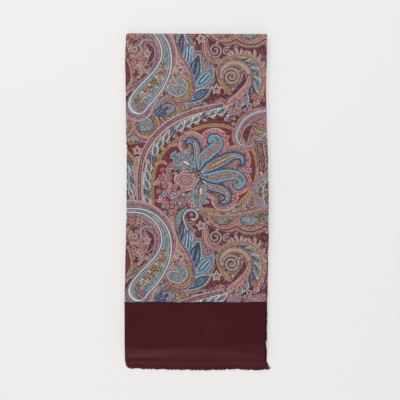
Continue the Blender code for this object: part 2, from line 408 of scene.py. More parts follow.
def inside(outline, places):
    """Which places an outline winds round."""
    start, end = outline, np.roll(outline, -1, axis=0)
    (x0, y0), (x1, y1) = start.T, end.T
    found = []
    for first in range(0, len(places), BATCH):
        x, y = places[first : first + BATCH, :1], places[first : first + BATCH, 1:]
        side = (x1 - x0) * (y - y0) - (x - x0) * (y1 - y0)
        up = (y0 <= y) & (y1 > y) & (side > 0)
        down = (y0 > y) & (y1 <= y) & (side < 0)
        found.append(up.sum(axis=1) != down.sum(axis=1))
    return np.concatenate(found)


def table(text):
    """Rows of numbers and names from text like "3 4.5 wine, 6 7 rose"; a list of rows stays as it is."""
    if not isinstance(text, str):
        return text
    rows = [row.split() for row in text.split(",")]
    return [tuple(float(word) if word[-1].isdigit() else word for word in row) for row in rows]


# The least half width that is drawn
THINNEST = 0.12


def curve(rows, step):
    """A smooth curve through rows of numbers, the first two of which are a place."""
    rows = np.array(table(rows), float)
    rows = np.vstack([2 * rows[0] - rows[1], rows, 2 * rows[-1] - rows[-2]])
    made = []
    for a, b, c, d in zip(rows, rows[1:], rows[2:], rows[3:]):
        count = max(2, round(math.hypot(*(c - b)[:2]) / step))
        t = np.arange(count)[:, None] / count
        bend = (2 * a - 5 * b + 4 * c - d) * t**2 + (3 * b - a - 3 * c + d) * t**3
        made.append(b + 0.5 * ((c - a) * t + bend))
    made.append(rows[-2:-1])
    return np.vstack(made)


def sideways(path):
    """Unit vectors to the left of each point of a path."""
    way = np.gradient(path[:, :2], axis=0)
    way /= np.maximum(np.hypot(*way.T), 1e-9)[:, None]
    return np.stack([-way[:, 1], way[:, 0]], 1)


def cap(middle, spoke):
    """A round end, from the spoke clockwise to its opposite."""
    radius = math.hypot(*spoke)
    count = int(1 + min(radius, 9) * 1.6)
    angles = -math.pi * np.arange(1, count) / count
    turned = np.outer(np.cos(angles), spoke) + np.outer(np.sin(angles), (-spoke[1], spoke[0]))
    return middle + turned


def swept(rows, inset=0.0, step=1.8):
    """Outline of a shape swept along rows of x, y and half width."""
    path = curve(rows, step)
    side = sideways(path)
    half = path[:, 2] - inset
    kept = np.flatnonzero(half > THINNEST)
    if len(kept) < 2:
        return None
    kept = slice(kept[0], kept[-1] + 1)
    path, side, half = path[kept, :2], side[kept], np.maximum(half[kept], THINNEST)
    spokes = side * half[:, None]
    left, right = path + spokes, path - spokes
    return np.vstack([left, cap(path[-1], spokes[-1]), right[::-1], cap(path[0], -spokes[0])])


def beside(rows, inset, step=1.8):
    """The left and right margins of a swept shape, as paths this far in from its outline."""
    path = curve(rows, step)
    spokes = sideways(path) * (path[:, 2] - inset)[:, None]
    return path[:, :2] + spokes, path[:, :2] - spokes


# How finely arcs are drawn, how deep a flower's petals are cut and what is taken for a quarter turn
ARC_POINTS = 9
PETAL_CUT = 0.24
QUARTER = 1.57


def disc(x, y, radius):
    """A circle's outline, with more corners the larger it is."""
    count = int(6 + radius * 1.6)
    angles = 2 * math.pi * np.arange(count) / count
    return np.stack([x + radius * np.cos(angles), y + radius * np.sin(angles)], 1)


def rosette(x, y, radius, petals, turn):
    """A flower's outline, with round petals."""
    count = petals * (4 if radius < 3.4 else 8)
    angles = 2 * math.pi * np.arange(count) / count
    reach = radius * (1 - PETAL_CUT + PETAL_CUT * np.abs(np.cos(petals / 2 * angles)) * 2 - PETAL_CUT)
    return np.stack([x + reach * np.cos(angles + turn), y + reach * np.sin(angles + turn)], 1)


def arc(x, y, radius, start, end):
    """Places along a stretch of a circle, with angles in degrees."""
    angles = np.radians(np.linspace(start, end, ARC_POINTS))
    return [(x + radius * math.cos(angle), y + radius * math.sin(angle)) for angle in angles]


def points_along(path, spacing, start=0.0):
    """Places at even spacing along a path, each with its heading."""
    steps = np.hypot(*np.diff(path, axis=0).T)
    run = np.concatenate([[0.0], np.cumsum(steps)])
    wanted = np.arange(start, run[-1], spacing)
    x, y = np.interp(wanted, run, path[:, 0]), np.interp(wanted, run, path[:, 1])
    way = np.gradient(path, axis=0)
    along = np.interp(wanted, run, np.unwrap(np.arctan2(way[:, 1], way[:, 0])))
    return zip(x, y, along)


# Leaves by name, with the dyes of rim, fill and vein, and blooms with those of rim, fill and heart
LEAVES = {
    "blue": ("white", "blue", "navy"),
    "teal": ("cream", "teal", "navy"),
    "navy": ("grey", "navy", "grey"),
    "grey": ("cream", "grey", "slate"),
    "slate": ("mauve", "slate", "teal"),
    "white_blue": ("white", "blue", "slate"),
    "white_teal": ("white", "teal", "slate"),
    "white_grey": ("white", "grey", "slate"),
    "rose": ("pale", "crimson", "wine"),
    "pink": ("cream", "rose", "crimson"),
    "peach": ("cream", "peach", "brick"),
    "ochre": ("brown", "ochre", "cream"),
    "olive": ("ochre", "olive", "brown"),
    "cream": ("brown", "cream", "ochre"),
    "flame": ("wine", "rose", "dusty"),
    "star": ("pale", "dusty", "slate"),
}
BLOOMS = {
    "cream": ("brown", "cream", "ochre"),
    "olive": ("cream", "olive", "ochre"),
    "rose": ("dusty", "crimson", "peach"),
    "pink": ("wine", "dusty", "crimson"),
    "sky": ("slate", "sky", "navy"),
    "blue": ("pale", "teal", "navy"),
    "ochre": ("brown", "ochre", "wine"),
    "peach": ("brick", "peach", "crimson"),
    "grey": ("slate", "dusty", "navy"),
    "teal_bud": ("slate", "teal", "pale"),
}


# A leaf's half width at shares of its length, and how finely curls are drawn
LEAF_SHAPE = ((0.0, 0.2), (0.3, 0.9), (0.6, 0.85), (1.0, 0.06))
CURL_POINTS = 15


class Drawing(Artwork):
    """The print's vocabulary: lines, leaves, blooms, teardrops, lobes and vines."""

    def line(self, rows, width, dye, step=2.2):
        """A line of even width through these places."""
        rows = [(row[0], row[1], width / 2) for row in table(rows)]
        self.paint(swept(rows, step=step), dye)

    def banded(self, rows, bands, step=1.8):
        """Bands one inside another: each is how far in from the outline it starts, and its dye."""
        for inset, dye in table(bands):
            self.paint(swept(rows, inset, step), dye)

    def lobed(self, lobes, bands):
        """Round lobes that run together, with bands that follow their joint outline."""
        for inset, dye in table(bands):
            for x, y, radius in lobes:
                if radius - inset > 0.4:
                    self.paint(disc(x, y, radius - inset), dye)

    def dots(self, path, spacing, radius, dye):
        """Dots at even spacing along a path."""
        for x, y, _ in points_along(path, spacing):
            self.paint(disc(x, y, radius), dye)

    def beads(self, rows, step, spacing, radius, dye):
        """Dots along the smooth curve through these rows."""
        self.dots(curve([row[:2] for row in table(rows)], step), spacing, radius, dye)

    def margin_dots(self, rows, inset, spacing, radius, dye):
        """Dots along both margins of a swept shape, this far in from its outline."""
        for margin in beside(rows, inset):
            self.dots(margin, spacing, radius, dye)

    def leaf(self, x, y, length, width, heading, kind, bend=0.0, rim_width=None):
        """A leaf from its base, with heading and bend in degrees."""
        rim, fill, vein = LEAVES[kind]
        turn = math.radians(heading)
        rows = []
        for share, half in LEAF_SHAPE:
            angle = turn + math.radians(bend) * share
            reach = length * share
            rows.append((x + reach * math.cos(angle), y + reach * math.sin(angle), half * width / 2))
        step = max(length / 5, 0.9)
        self.paint(swept(rows, step=step), rim)
        rim_width = rim_width or (0.42 if width > 2.6 else 0.3)
        self.paint(swept(rows, rim_width, step), fill)
        if width > 2.4:
            self.line(rows[:3], width * 0.16, vein, step)

    def bloom(self, x, y, radius, kind, petals=5, turn=0.4):
        """A flower seen from above."""
        rim, fill, heart = BLOOMS[kind]
        self.paint(rosette(x, y, radius, petals, turn), rim)
        self.paint(rosette(x, y, radius * 0.8, petals, turn), fill)
        self.paint(disc(x, y, radius * 0.32), heart)

    def curl(self, x, y, radius, heading, width, dye, turns=1.2):
        """A spiral that ends at its middle; a negative radius winds the other way."""
        hand = math.copysign(1.0, radius)
        rows = []
        for i in range(CURL_POINTS):
            share = i / (CURL_POINTS - 1)
            angle = math.radians(heading) + hand * 2 * math.pi * turns * share
            reach = abs(radius) * (1 - 0.8 * share)
            rows.append((x + reach * math.cos(angle), y + reach * math.sin(angle)))
        self.line(rows, width, dye, max(abs(radius) * 0.2, 0.8))

    def wound(self, x, y, radius, heading, lines, turns):
        """Curls one on another, from the widest line to the narrowest."""
        for width, dye in table(lines):
            self.curl(x, y, radius, heading, width, dye, turns)

    def vine(self, rows, kinds, length, width, spacing, lean, stem):
        """Leaves along a path, now on one side and now on the other."""
        kinds = kinds.split()
        self.line(rows, 0.7, stem)
        for i, (x, y, along) in enumerate(points_along(curve(rows, 2.0), spacing, spacing / 2)):
            side = 1 if i % 2 else -1
            kind = kinds[i % len(kinds)]
            self.leaf(x, y, length, width, math.degrees(along) + side * lean, kind, side * 20)

    def jagged(self, x, y, length, width, heading, bands, teeth):
        """A leaf with deep teeth, banded from its rim inwards."""
        turn = math.radians(heading)
        forward = np.array([math.cos(turn), math.sin(turn)])
        aside = np.array([-forward[1], forward[0]])
        for inset, dye in table(bands):
            points = []
            for side in (1, -1):
                run = []
                for tooth in range(teeth):
                    share = (tooth + 0.5) / teeth
                    swell = math.sin(math.pi * min(share * 0.85 + 0.12, 1.0))
                    tip = max(width / 2 * swell - inset, 0.2)
                    notch = max(tip * 0.52 - inset * 0.3, 0.15)
                    run.append((length * (share - 0.28 / teeth), notch))
                    run.append((length * (share + 0.3 / teeth), tip))
                points += [(u, side * v) for u, v in (run if side == 1 else run[::-1])]
                if side == 1:
                    points.append((length - inset * 1.5, 0.0))
            outline = np.array([x, y]) + np.array([u * forward + v * aside for u, v in points])
            self.paint(outline, dye)
        self.line([(x, y), tuple(np.array([x, y]) + forward * length * 0.8)], 0.7, "slate")


def ground_cover(art):
    """Small sprigs all over the ground, which the larger motifs then cover in part."""
    pick = random.Random(12)
    pitch = 6.2
    rows, columns = round(CELL / pitch), 25
    for row in range(rows):
        for column in range(columns):
            x = (column + 0.5 * (row % 2)) * pitch - 4 + pick.uniform(-1.1, 1.1)
            y = (row + 0.5) * CELL / rows + pick.uniform(-1.1, 1.1)
            what, turn = pick.random(), pick.uniform(0, 360)
            if what < 0.4:
                kind = pick.choice("pink rose grey peach pink grey blue ochre".split())
                art.bloom(x, y, pick.uniform(2.2, 3.2), kind, 5, turn)
            elif what < 0.75:
                for side in (-38, 38):
                    kind = pick.choice("pink grey rose olive grey peach teal".split())
                    art.leaf(x, y, pick.uniform(3.6, 5.0), 2.2, turn + side, kind, -side)
            else:
                art.curl(x, y, 2.8, turn, 1.0, pick.choice("dusty rose mauve ochre".split()))


def star(art, x, y, radius, turn):
    """A pointed flower, alone on the ground."""
    for angle in range(0, 360, 72):
        art.leaf(x, y, radius, radius * 0.62, angle + turn, "star")
    art.paint(disc(x, y, radius * 0.3), "olive")


def spray(art, spots, size, kinds, petals=5):
    """Blooms at these spots, of about one size, each kind in turn."""
    kinds = kinds.split()
    for i, (x, y) in enumerate(table(spots)):
        art.bloom(x, y, size * (1 + 0.16 * math.sin(3.7 * i)), kinds[i % len(kinds)], petals, 0.9 * i)


def flower_bed(art, outline, kinds, pitch, size, seed):
    """Blooms and leaves crowded inside an outline."""
    pick, kinds = random.Random(seed), kinds.split()
    low, high = outline.min(axis=0), outline.max(axis=0)
    spots = []
    for row, y in enumerate(np.arange(low[1], high[1], pitch * 0.87)):
        for x in np.arange(low[0] + pitch / 2 * (row % 2), high[0], pitch):
            spots.append((x + pick.uniform(-0.7, 0.7), y + pick.uniform(-0.7, 0.7)))
    spots = np.array(spots)
    for x, y in spots[inside(outline, spots)]:
        kind, turn = pick.choice(kinds), pick.uniform(0, 360)
        if pick.random() < 0.62:
            art.bloom(x, y, size * pick.uniform(0.8, 1.25), kind, pick.choice((5, 6)), turn)
        else:
            art.leaf(x, y, size * 2.0, size, turn, kind if kind in LEAVES else "grey", 25)


def ribbon(art, rows, bands):
    """Parallel lines along a path, from the widest to the narrowest."""
    for width, dye in table(bands):
        art.line(rows, width, dye)


def fan(art, x, y, inner, outer, start, end, dye):
    """Short strokes that radiate between two circles, with angles in degrees."""
    count = max(2, int(math.radians(end - start) * outer / 1.9))
    for angle in np.radians(np.linspace(start, end, count)):
        way = np.array([math.cos(angle), math.sin(angle)])
        aside = np.array([-way[1], way[0]]) * 0.42
        middle = np.array([x, y])
        a, b = middle + way * inner, middle + way * outer
        art.paint(np.array([a - aside * 0.5, b - aside, b + aside, a + aside * 0.5]), dye)


def great_teardrop(art):
    """The great pale teardrop that the lengthways fold cuts, with its tail curled under it."""
    whole = table("7 56 39.6, 9 41 35.6, 12 27 25.2, 13.2 15 13.4, 13 10.5 9.8")
    art.banded(whole, "-7.4 wine, -6.8 dusty, -5.8 wine, -5.2 rose, -2.8 wine, -2.2 mauve, -1.2 crimson, "
        "-0.5 dusty, 0.3 wine")
    art.margin_dots(whole, -4.0, 2.6, 0.7, "crimson")
    head = table("6 60 31.4, 4 49 29.5, 0 37 20, -4 27 11")
    art.banded(head, "-0.6 wine, 0.1 rose, 0.9 wine, 1.5 dusty, 2.4 rose, 4.8 wine, 5.4 mauve, 6.4 wine, "
        "7.0 dusty, 7.8 ground")
    art.margin_dots(head, 3.4, 2.4, 0.7, "crimson")
    heart = swept(head, 9.0)
    flower_bed(art, heart, "pink grey rose peach pink olive ochre", 4.2, 2.6, 5)
    art.banded("21 72 0.8, 26.5 66 2.8, 26.6 58 2.6, 23 51 0.8", "-0.7 dusty, 0 ground")
    star(art, 22.5, 62, 4.6, 20)
    art.banded("-3 56 2.0, 1.0 46 3.4, 1.6 36 2.6, 0 28 1.0", "-0.7 wine, 0 burgundy")
    scroll = table("27 75, 20 75.5, 15.4 70.5, 17 64.5, 12 59, 6 60")
    ribbon(art, scroll, "3.2 wine, 2.4 dusty, 0.8 mauve")
    ribbon(art, "3.2 56, 6.0 47, 7.2 37, 6.4 29", "3.0 brown, 2.2 peach, 0.9 ochre")
    spray(art, "11 78.5, 15.5 81, 7 81", 3.6, "peach olive", 6)
    spray(art, "10 66, 9 53", 4.6, "pink peach", 6)
    body = table("-12 92.4 1.9, 2 91.8 1.9, 18 90.6 2.2, 31 83.6 2.9, 39.2 72 3.9, 41.6 59 4.9, "
        "39.2 47 6.9, 34 37 8.6, 27.5 28.5 9.8, 20.5 20.5 10.2, 15.0 14 9.8, 13.4 11 9.4")
    art.banded(body, "-1.9 mauve, -1.2 slate, -0.6 pale, 0.0 white, 0.75 slate, 1.4 teal, 2.4 pale, "
        "2.9 slate, 3.3 teal")
    chain = table("40.6 53, 38.4 45, 34.5 38, 29.5 32, 24 26, 18.5 20, 13.5 14.5")
    ribbon(art, table("38.6 46") + chain[2:], "8.6 grey, 7.2 olive")
    art.vine(chain, "olive peach cream ochre", 6.0, 3.0, 2.6, 62, "brown")
    spray(art, chain[1:], 3.2, "peach olive ochre", 6)
    art.banded("16.4 7.6 3.8, 17.2 8.0 3.8", "-1.8 teal, -1.0 brown, -0.5 mauve, 0.6 wine, 1.1 rose, "
        "2.3 wine, 2.7 grey")
    under = table("10 23.3, 7.5 19.7, 5.6 15.2, 5.2 10.6, 7.4 5.8, 11.4 2.8, 16 2.2, 20.2 4.4, 23.6 9.2")
    art.line(under + table("28 14.1"), 0.8, "white")


def scallop(art, x, y, radius, depth, look, start, end):
    """The filling of one round lobe: a fan of strokes round a dotted middle."""
    for inset, dye in table(f"0 brick, 0.6 olive, 3.4 wine, 4.0 pale, 4.7 {look}"):
        rest = radius - (depth + inset)
        if rest > 0.5:
            art.paint(disc(x, y, rest), dye)
    fan(art, x, y, radius - depth - 3.2, radius - depth - 0.8, start, end, "ochre")
    art.beads(arc(x, y, radius - depth - 5.8, start, end), 1.5, 2.3, 0.55, "white")


def lobe_leaf(x, y, half):
    """Rows for the lens that lies across a round lobe."""
    rows = [(-8.5, 2.4, 1.0), (-3.6, 0.6, half), (3.6, 0.6, half), (8.5, 2.4, 1.0)]
    return [(x + across, y + up, wide) for across, up, wide in rows]


def lobes_and_drop(art):
    """The peach drop beside the great teardrop, and the runs of round lobes with their fillings."""
    upper = table("-3 175.5 12.6, 22 176 13.8, 47 189.5 13.4")
    art.lobed(upper, "-5.0 wine, -4.4 grey, -2.4 slate, -1.9 mauve, -0.7 brick, 0.2 peach")
    scallop(art, -3, 176, 12.6, 2.4, "teal", -100, 60)
    scallop(art, 21.5, 177, 13.4, 2.6, "teal", -110, 50)
    art.lobed(table("18 178 5.4, 24 175.5 5.6, 19 174 5.0"), "0 slate, 0.6 teal, 2.4 grey")
    scallop(art, 47, 190, 13.4, 1.8, "olive", -80, 80)
    art.beads(arc(46, 190, 10.4, -80, 80), 1.5, 2.4, 0.5, "peach")
    fan(art, 45, 190, 3.0, 8.4, -70, 70, "ochre")
    art.banded("27 187 1.2, 35 189.5 4.0, 43 192 5.6, 47 193 3.4", "-1.0 slate, 0 grey, 1.0 mauve")
    for heading, length in table("-4 17, 14 22, 34 17"):
        art.leaf(28, 186.5, length, 5.4, heading, "navy", 16)
    lower = table("100 92.5 19.8, 125.3 91.5 20.6, 151 93 20.0")
    art.lobed(lower, "-5.6 wine, -5.0 dusty, -4.2 slate, -3.7 stone, -1.6 slate, -0.9 brick, 0.4 peach, "
        "1.6 rose, 3.2 peach, 3.8 brick, 4.5 ochre, 6.6 olive")
    for x, y, radius in lower:
        fan(art, x, y, radius - 8.0, radius - 4.8, -130, -50, "brown")
        art.beads(arc(x, y, radius - 2.4, -130, -50), 1.5, 2.6, 0.6, "crimson")
    for x, y, look in table("96.5 83 olive, 124.5 81.4 teal, 147 83 teal"):
        art.banded(lobe_leaf(x, y, 4.0), f"-0.8 brown, 0.0 grey, 1.0 {look}, 3.0 grey", 1.4)
        for heading in (200, 250, 290, 340):
            art.leaf(x, y + 1, 5.0, 2.4, heading, "slate")
        art.bloom(x, y + 1, 1.8, "cream", 6)
    corner = np.array(table("106 92, 118 98, 126 108, 134 100, 142 92, 130 88, 114 87"))
    flower_bed(art, corner, "olive grey cream grey olive", 4.0, 2.4, 4)
    for x, y, look in table("97.5 82.5 olive, 124.5 81 teal, 147 83 teal"):
        art.banded(lobe_leaf(x, y, 4.4), f"-1.4 olive, -0.4 brown, 0.2 grey, 1.2 {look}, 3.2 grey", 1.4)
        art.bloom(x, y, 2.2, "blue", 6)
    drop = table("55.5 27 13.6, 53.6 37 13.4, 50.6 47 11.2, 47.4 58 8.2, 46.2 70 5.2, 47 84 3")
    art.banded(drop, "-1.9 mauve, -0.7 brick, 0.2 peach, 2.6 rose, 3.6 peach")
    ribbon(art, "63.2 39, 66.0 31, 64.4 22.5, 58 17.4, 49 19", "5.6 brown, 5.0 olive, 1.4 ochre")
    fan(art, 55.5, 28, 8.4, 12.0, -80, 45, "ochre")
    heart = table("47 26.5 4.4, 53 25 5.6, 57.6 28.6 4.8, 55 34.6 3.0, 48 38 0.8")
    art.banded(heart, "-1.6 brown, -0.9 pale, 0.0 grey, 1.0 teal, 2.6 grey", 1.4)
    spray(art, "53 48, 55.6 45.6", 4.2, "olive blue", 6)
    spray(art, "61 41.5, 50.4 57, 50.6 40, 57 51, 53.5 42", 2.4, "ochre rose ochre")
    spray(art, "60 46, 50 63, 62 36, 49 52, 56.5 38, 49.5 34", 1.6, "rose")


LEAF_CHAIN = (
    (table("54 60 1.4, 54.2 66 3.4, 55.0 74 3.8, 56.5 84 1.0"), "navy", "mauve", "slate"),
    (table("59.6 48 1.2, 61.0 54 4.6, 62.2 62 4.8, 62.5 69 2.2, 62.4 73 0.6"), "blue", "sky", "white"),
    (table("68.0 34 1.2, 69.2 42 4.4, 70.8 50 4.6, 73.4 59 0.8"), "navy", "blue", "brown"),
    (table("70.5 28 1.4, 75.5 33 4.8, 80.5 38.5 5.6, 85 43 3.2, 86.8 45.5 0.6"), "blue", "sky", "white"),
    (table("64 14.5 1.2, 70.5 18 3.2, 77 22 3.8, 83 25.6 1.0"), "navy", "blue", "teal"),
)


def leaf_chain(art):
    """The blue leaves beside the peach drop, with pale lines that follow all their tips."""
    for inset, dye in table("-5.4 wine, -4.8 dusty, -4.0 slate, -3.4 grey, -2.2 wine, -1.7 pale, "
        "-1.0 teal"):
        for rows, *_ in LEAF_CHAIN:
            art.paint(swept(rows, inset, 2.4), dye)
    for rows, rim, fill, heart in LEAF_CHAIN:
        art.banded(rows, f"-0.5 slate, 0 {rim}, 1.0 slate, 1.4 {fill}, 2.6 navy, 3.1 teal", 1.6)
        ribbon(art, rows[1:4], f"3.0 slate, 2.0 navy, 0.9 {heart}")
    art.leaf(66, 61, 9, 3.4, 78, "white_blue")
    art.leaf(66, 27, 9, 4.0, 60, "blue")


RING_OUTER = table(
    "17.5 92, 15 104, 14.6 116, 15.2 130, 17.5 143, 22 154, 29.5 165, 38.5 174, 49.5 181.5, 64 188, "
    "80 192.5, 97 196"
)
GARLAND = table(
    "23.6 95, 22.6 109, 23.2 123, 25.2 136, 29.6 148, 36.4 158, 45.4 166.8, 56 174, 68 180, 82 185.4, "
    "95 189"
)
GOLD_LINE = table(
    "28.4 93, 27.6 108, 28.2 123, 31 136, 37 147, 45 156, 54 163.6, 65 170.4, 76 174.6, 88 176.6, "
    "102 175, 114 168.5, 124 158, 129.8 147, 132.2 135, 131 123.5, 126 112.5, 118 102.8, 106 94.8, "
    "92 91.8, 80 93"
)


def ring(art):
    """The open ring: pink lines, a garland of leaves and a gold line inside."""
    art.line(GARLAND, 14.0, "ground")
    art.paint(curve(GOLD_LINE, 2.4), "burgundy")
    ribbon(art, RING_OUTER, "7.2 wine, 6.2 dusty, 3.2 wine, 1.4 rose")
    art.line([(x + 2.6, y - 2.4) for x, y in RING_OUTER[4:]], 1.3, "dusty")
    art.line([(x + 3.6, y) for x, y in RING_OUTER[:4]], 1.3, "dusty")
    for i, (x, y, along) in enumerate(points_along(curve(GARLAND, 2.0), 8.6)):
        heading = math.degrees(along) + 10
        kind = ("white_grey", "slate", "white_teal", "teal")[i % 4]
        art.leaf(x + 1.0, y, 13.4, 7.2, heading, kind, 10, 0.85)
        art.leaf(x - 1.2, y + 1, 6.0, 2.4, heading + 34, "grey")
        art.leaf(x + 3.6, y - 1.4, 5.4, 2.2, heading - 30, "pink")
    ribbon(art, GOLD_LINE, "5.8 slate, 5.0 dusty, 4.2 brown, 3.4 ochre, 2.2 peach")
    art.beads(GOLD_LINE[:12], 2.0, 2.3, 0.5, "brown")
    for x, y, turn in table("45.5 156.5 -8, 31.5 138 4, 28.5 118 14"):
        cos, sin = math.cos(math.radians(turn)), math.sin(math.radians(turn))
        barb = table("0 0 2.0, 4 1.6 1.9, 8 1.2 1.6, 10.4 -1.6 0.8")
        rows = [(x + u * cos - v * sin, y + u * sin + v * cos, half) for u, v, half in barb]
        art.banded(rows, "-0.5 brown, 0 peach, 1.0 ochre", 1.4)
    for i, (x, y, along) in enumerate(points_along(curve(GOLD_LINE[13:], 2.0), 5.4)):
        side, kind = along + QUARTER, ("grey", "olive", "pink")[i % 3]
        x, y = x + 3.6 * math.cos(side), y + 3.6 * math.sin(side)
        art.leaf(x, y, 5.6, 2.6, math.degrees(along), kind, 12)


def ring_flower(art):
    """The many-petalled flower in the ring, with the paler field around it, its leaves and small blooms."""
    petals = (
        ("navy", table("70 132 1.6, 71 142 3.6, 72 151 4.4, 69.5 159 3.8, 64 161 2.8, 62 156.5 1.6")),
        ("blue", table("75 134 2.2, 76.5 142 4.2, 84 149 5.2, 92 156 4.8, 92.5 163 3.2, 86.5 164 2.4, "
            "84.5 160 1.2")),
        ("navy", table("77 130 3.0, 87 136 5.8, 98 141.5 6.0, 108.5 146 4.2, 116.5 144 3.2, 117 138 2.0, "
            "113.5 136.5 1")),
        ("blue", table("78 125.5 2.4, 89 124.5 5.2, 101 127 5.2, 112 126.5 4.2, 117.5 120.5 3.2, "
            "113 115 2.2, 109.5 117 1")),
        ("navy", table("78 121 2.2, 85 115.5 4.4, 95 113 4.8, 102.5 108 4.2, 101.5 101 3.2, 95 100 1.6, "
            "94 103 0.8")),
    )
    for inset, dye in table("-7.6 wine, -6.9 pale, -6.1 peach, -4.4 rose, -2.0 bed, -1.0 brown"):
        for _, rows in petals:
            art.paint(swept(rows, inset, 2.4), dye)
    spray(art, "81 168, 124 131.5, 110 104, 58 164, 101 164", 4.6, "peach pink", 4)
    spray(art, "97 150, 104 134, 86 155.5, 106 119.5, 91 106.5, 79 150", 2.8, "rose ochre grey")
    spray(art, "103 154, 92 101.5, 112 140.5, 110.5 119, 98 104, 87 160, 65.5 155", 3.0, "rose peach")
    looks = {
        "navy": "-0.7 olive, 0 navy, 1.6 sky, 2.1 grey, 2.9 brown, 3.3 peach, 4.1 brown, 4.7 ochre",
        "blue": "-0.7 slate, 0 sky, 0.7 blue, 2.1 teal, 2.8 brown, 3.2 peach, 4.2 rose",
    }
    for look, rows in petals:
        art.banded(rows, looks[look], 1.5)
        art.beads(rows[:-2], 1.5, 2.4, 0.6, "cream" if look == "navy" else "brick")
    art.jagged(69, 132, 27, 24, 144, "-1.3 ground, -0.5 sky, 0.3 teal, 2.2 slate, 2.7 teal, 5.0 grey", 5)
    art.jagged(74, 119, 27, 25, 268, "-1.2 ground, -0.4 pale, 0.5 grey, 2.4 teal, 5.4 grey", 4)
    art.banded("58 141 0.6, 61.5 139 1.5, 65 136.6 0.5", "-0.6 brown, 0 cream", 1.2)
    art.banded("76.4 114.5 0.6, 76 111 1.5, 76.4 107 0.5", "-0.6 brown, 0 cream", 1.2)
    peony = table("53.5 123 4.2, 58 122.5 9.0, 64 121 9.2, 69.5 123.5 4.6")
    art.banded(peony, "-1.8 ground, -1.0 brown, -0.3 pale, 0.7 rose, 2.0 crimson, 2.7 dusty, "
        "4.4 crimson, 5.0 rose", 1.6)
    for x, y, heading in table("52.5 127 150, 53 118 205, 60 113.5 260, 66.5 115.5 300, 60 129.5 100"):
        art.leaf(x, y, 4.6, 3.0, heading, "pink")
    art.beads("55 123, 59 127, 65 125, 66 120, 60 117, 56 119", 1.5, 2.4, 0.7, "crimson")
    art.banded("73 127 3.0, 74.5 127 3.0", "0 brown, 0.8 ochre, 1.8 brick")
    meadow = np.array(table("31 95, 31 118, 35 131, 44 139, 51 135, 48 126, 51 117, 58 111, 66 104, "
        "68 93, 50 91"))
    flower_bed(art, meadow, "pink rose rose peach pink rose teal_bud rose", 4.7, 2.9, 9)
    spray(art, "37 123, 43.5 132", 4.6, "rose pink", 6)
    spray(art, "39.5 107.5, 49.5 106.5", 3.4, "sky blue", 6)


def right_teardrops(art):
    """The two teardrops that the right hem cuts, beside the ring."""
    upper = table("122 166 11.4, 127 172.5 13, 136 179 12.0, 150 185 8")
    art.banded(upper, "-6.0 wine, -5.4 dusty, -4.6 wine, -4.0 rose, -1.8 wine, -1.2 mauve, -0.4 slate, "
        "0.1 white, 0.7 teal, 1.5 pale, 2.1 slate, 2.7 mauve, 3.4 rose, 4.8 wine, 5.4 dusty, 6.4 wine, "
        "6.9 rose, 8.2 wine, 8.8 bed")
    for inset in (-2.9, 4.1):
        art.margin_dots(upper, inset, 2.4, 0.6, "crimson")
    bed = np.array(table("128 158, 126 168, 130 178, 140 184, 150 184, 150 150, 136 150"))
    flower_bed(art, bed, "olive grey pink peach ochre grey rose", 4.2, 2.5, 3)
    art.banded("121.4 158 0.8, 120.4 165 3.2, 123 172 3.0, 128 177 0.6", "-0.8 dusty, 0 ground", 1.4)
    for radius, width, dye in table("8.8 2.6 wine, 8.8 1.6 dusty, 5.6 1.0 rose"):
        art.line(arc(124, 164, radius, 180, 330), width, dye)
    art.wound(129, 161, 5.2, 200, "1.6 wine, 0.9 dusty", 1.3)
    slip = table("133 158 1.0, 135.5 151 2.8, 136.4 143 2.4, 135 135 0.8")
    art.banded(slip, "-2.0 wine, -1.4 mauve, -0.4 wine, 0.3 bed")
    art.banded([(x + 6.4, y + 1, half) for x, y, half in slip], "-1.4 wine, -0.8 dusty, 0 olive, 1.2 bed")

    lower = table("146 110.5 16.6, 151 118 14.0, 158 128 8.0")
    art.banded(lower, "-6.2 wine, -5.6 dusty, -4.6 wine, -4.0 rose, -2.6 wine, -2.0 mauve, -0.8 slate, "
        "-0.1 white, 0.75 slate, 1.4 grey, 2.6 brown, 3.3 olive, 6.0 slate, 6.8 grey, 8.2 slate, 8.8 olive")
    art.margin_dots(lower, 4.6, 2.2, 0.7, "cream")
    art.vine("139.5 98, 138 106, 138.4 114, 142 122", "olive grey peach", 5.0, 2.6, 3.0, 50, "cream")


def left_teardrop(art):
    """The leafy teardrop between the great one's repeats, cut by the lengthways fold."""
    rows = table("-2 137 13.5, -2 126 14.2, 0 113 10.4, 2 103 5.2, 4 98 2.2")
    art.banded(rows, "-4.2 wine, -3.6 dusty, -2.6 wine, -2.0 mauve, -1.1 brown, -0.5 ochre, 0.7 peach, "
        "1.4 brown, 2.0 olive, 3.4 slate")
    for x, y, length, heading, kind in table(
        "8 104 12 118 white_grey, 9 110.5 13 116 teal, 9.6 117 14 118 slate, 10 123.5 14 122 white_grey, "
        "9.4 130 13 128 white_blue, 7 136 11 134 olive, 4 112 10 110 grey, 4 120 11 112 white_grey, "
        "4 128 11 116 teal"
    ):
        art.leaf(x, y, length, 4.6, heading, kind, -12)
    art.paint(np.array(table("-4.0 154.0, 2.0 153.0, 10.0 145.0, 17.0 146.0, 25.0 159.6, "
        "13.0 158.6")), "burgundy")
    star(art, 12.6, 151.4, 5.4, 18)


CURLED = table(
    "104 22.5, 97 31, 93.6 39, 93.6 47, 97.5 53.5, 104 57.5, 112 59.6, 121 59.3, 129 55.8, 134 49.5, "
    "137 41, 137 31, 134 22, 129.6 13"
)
RIB = table(
    "96.8 39, 97.6 46, 103 51.2, 110.5 52.6, 118 50, 123.2 44, 124.8 36, 121.2 28, 113.5 21, 105 14.5"
)


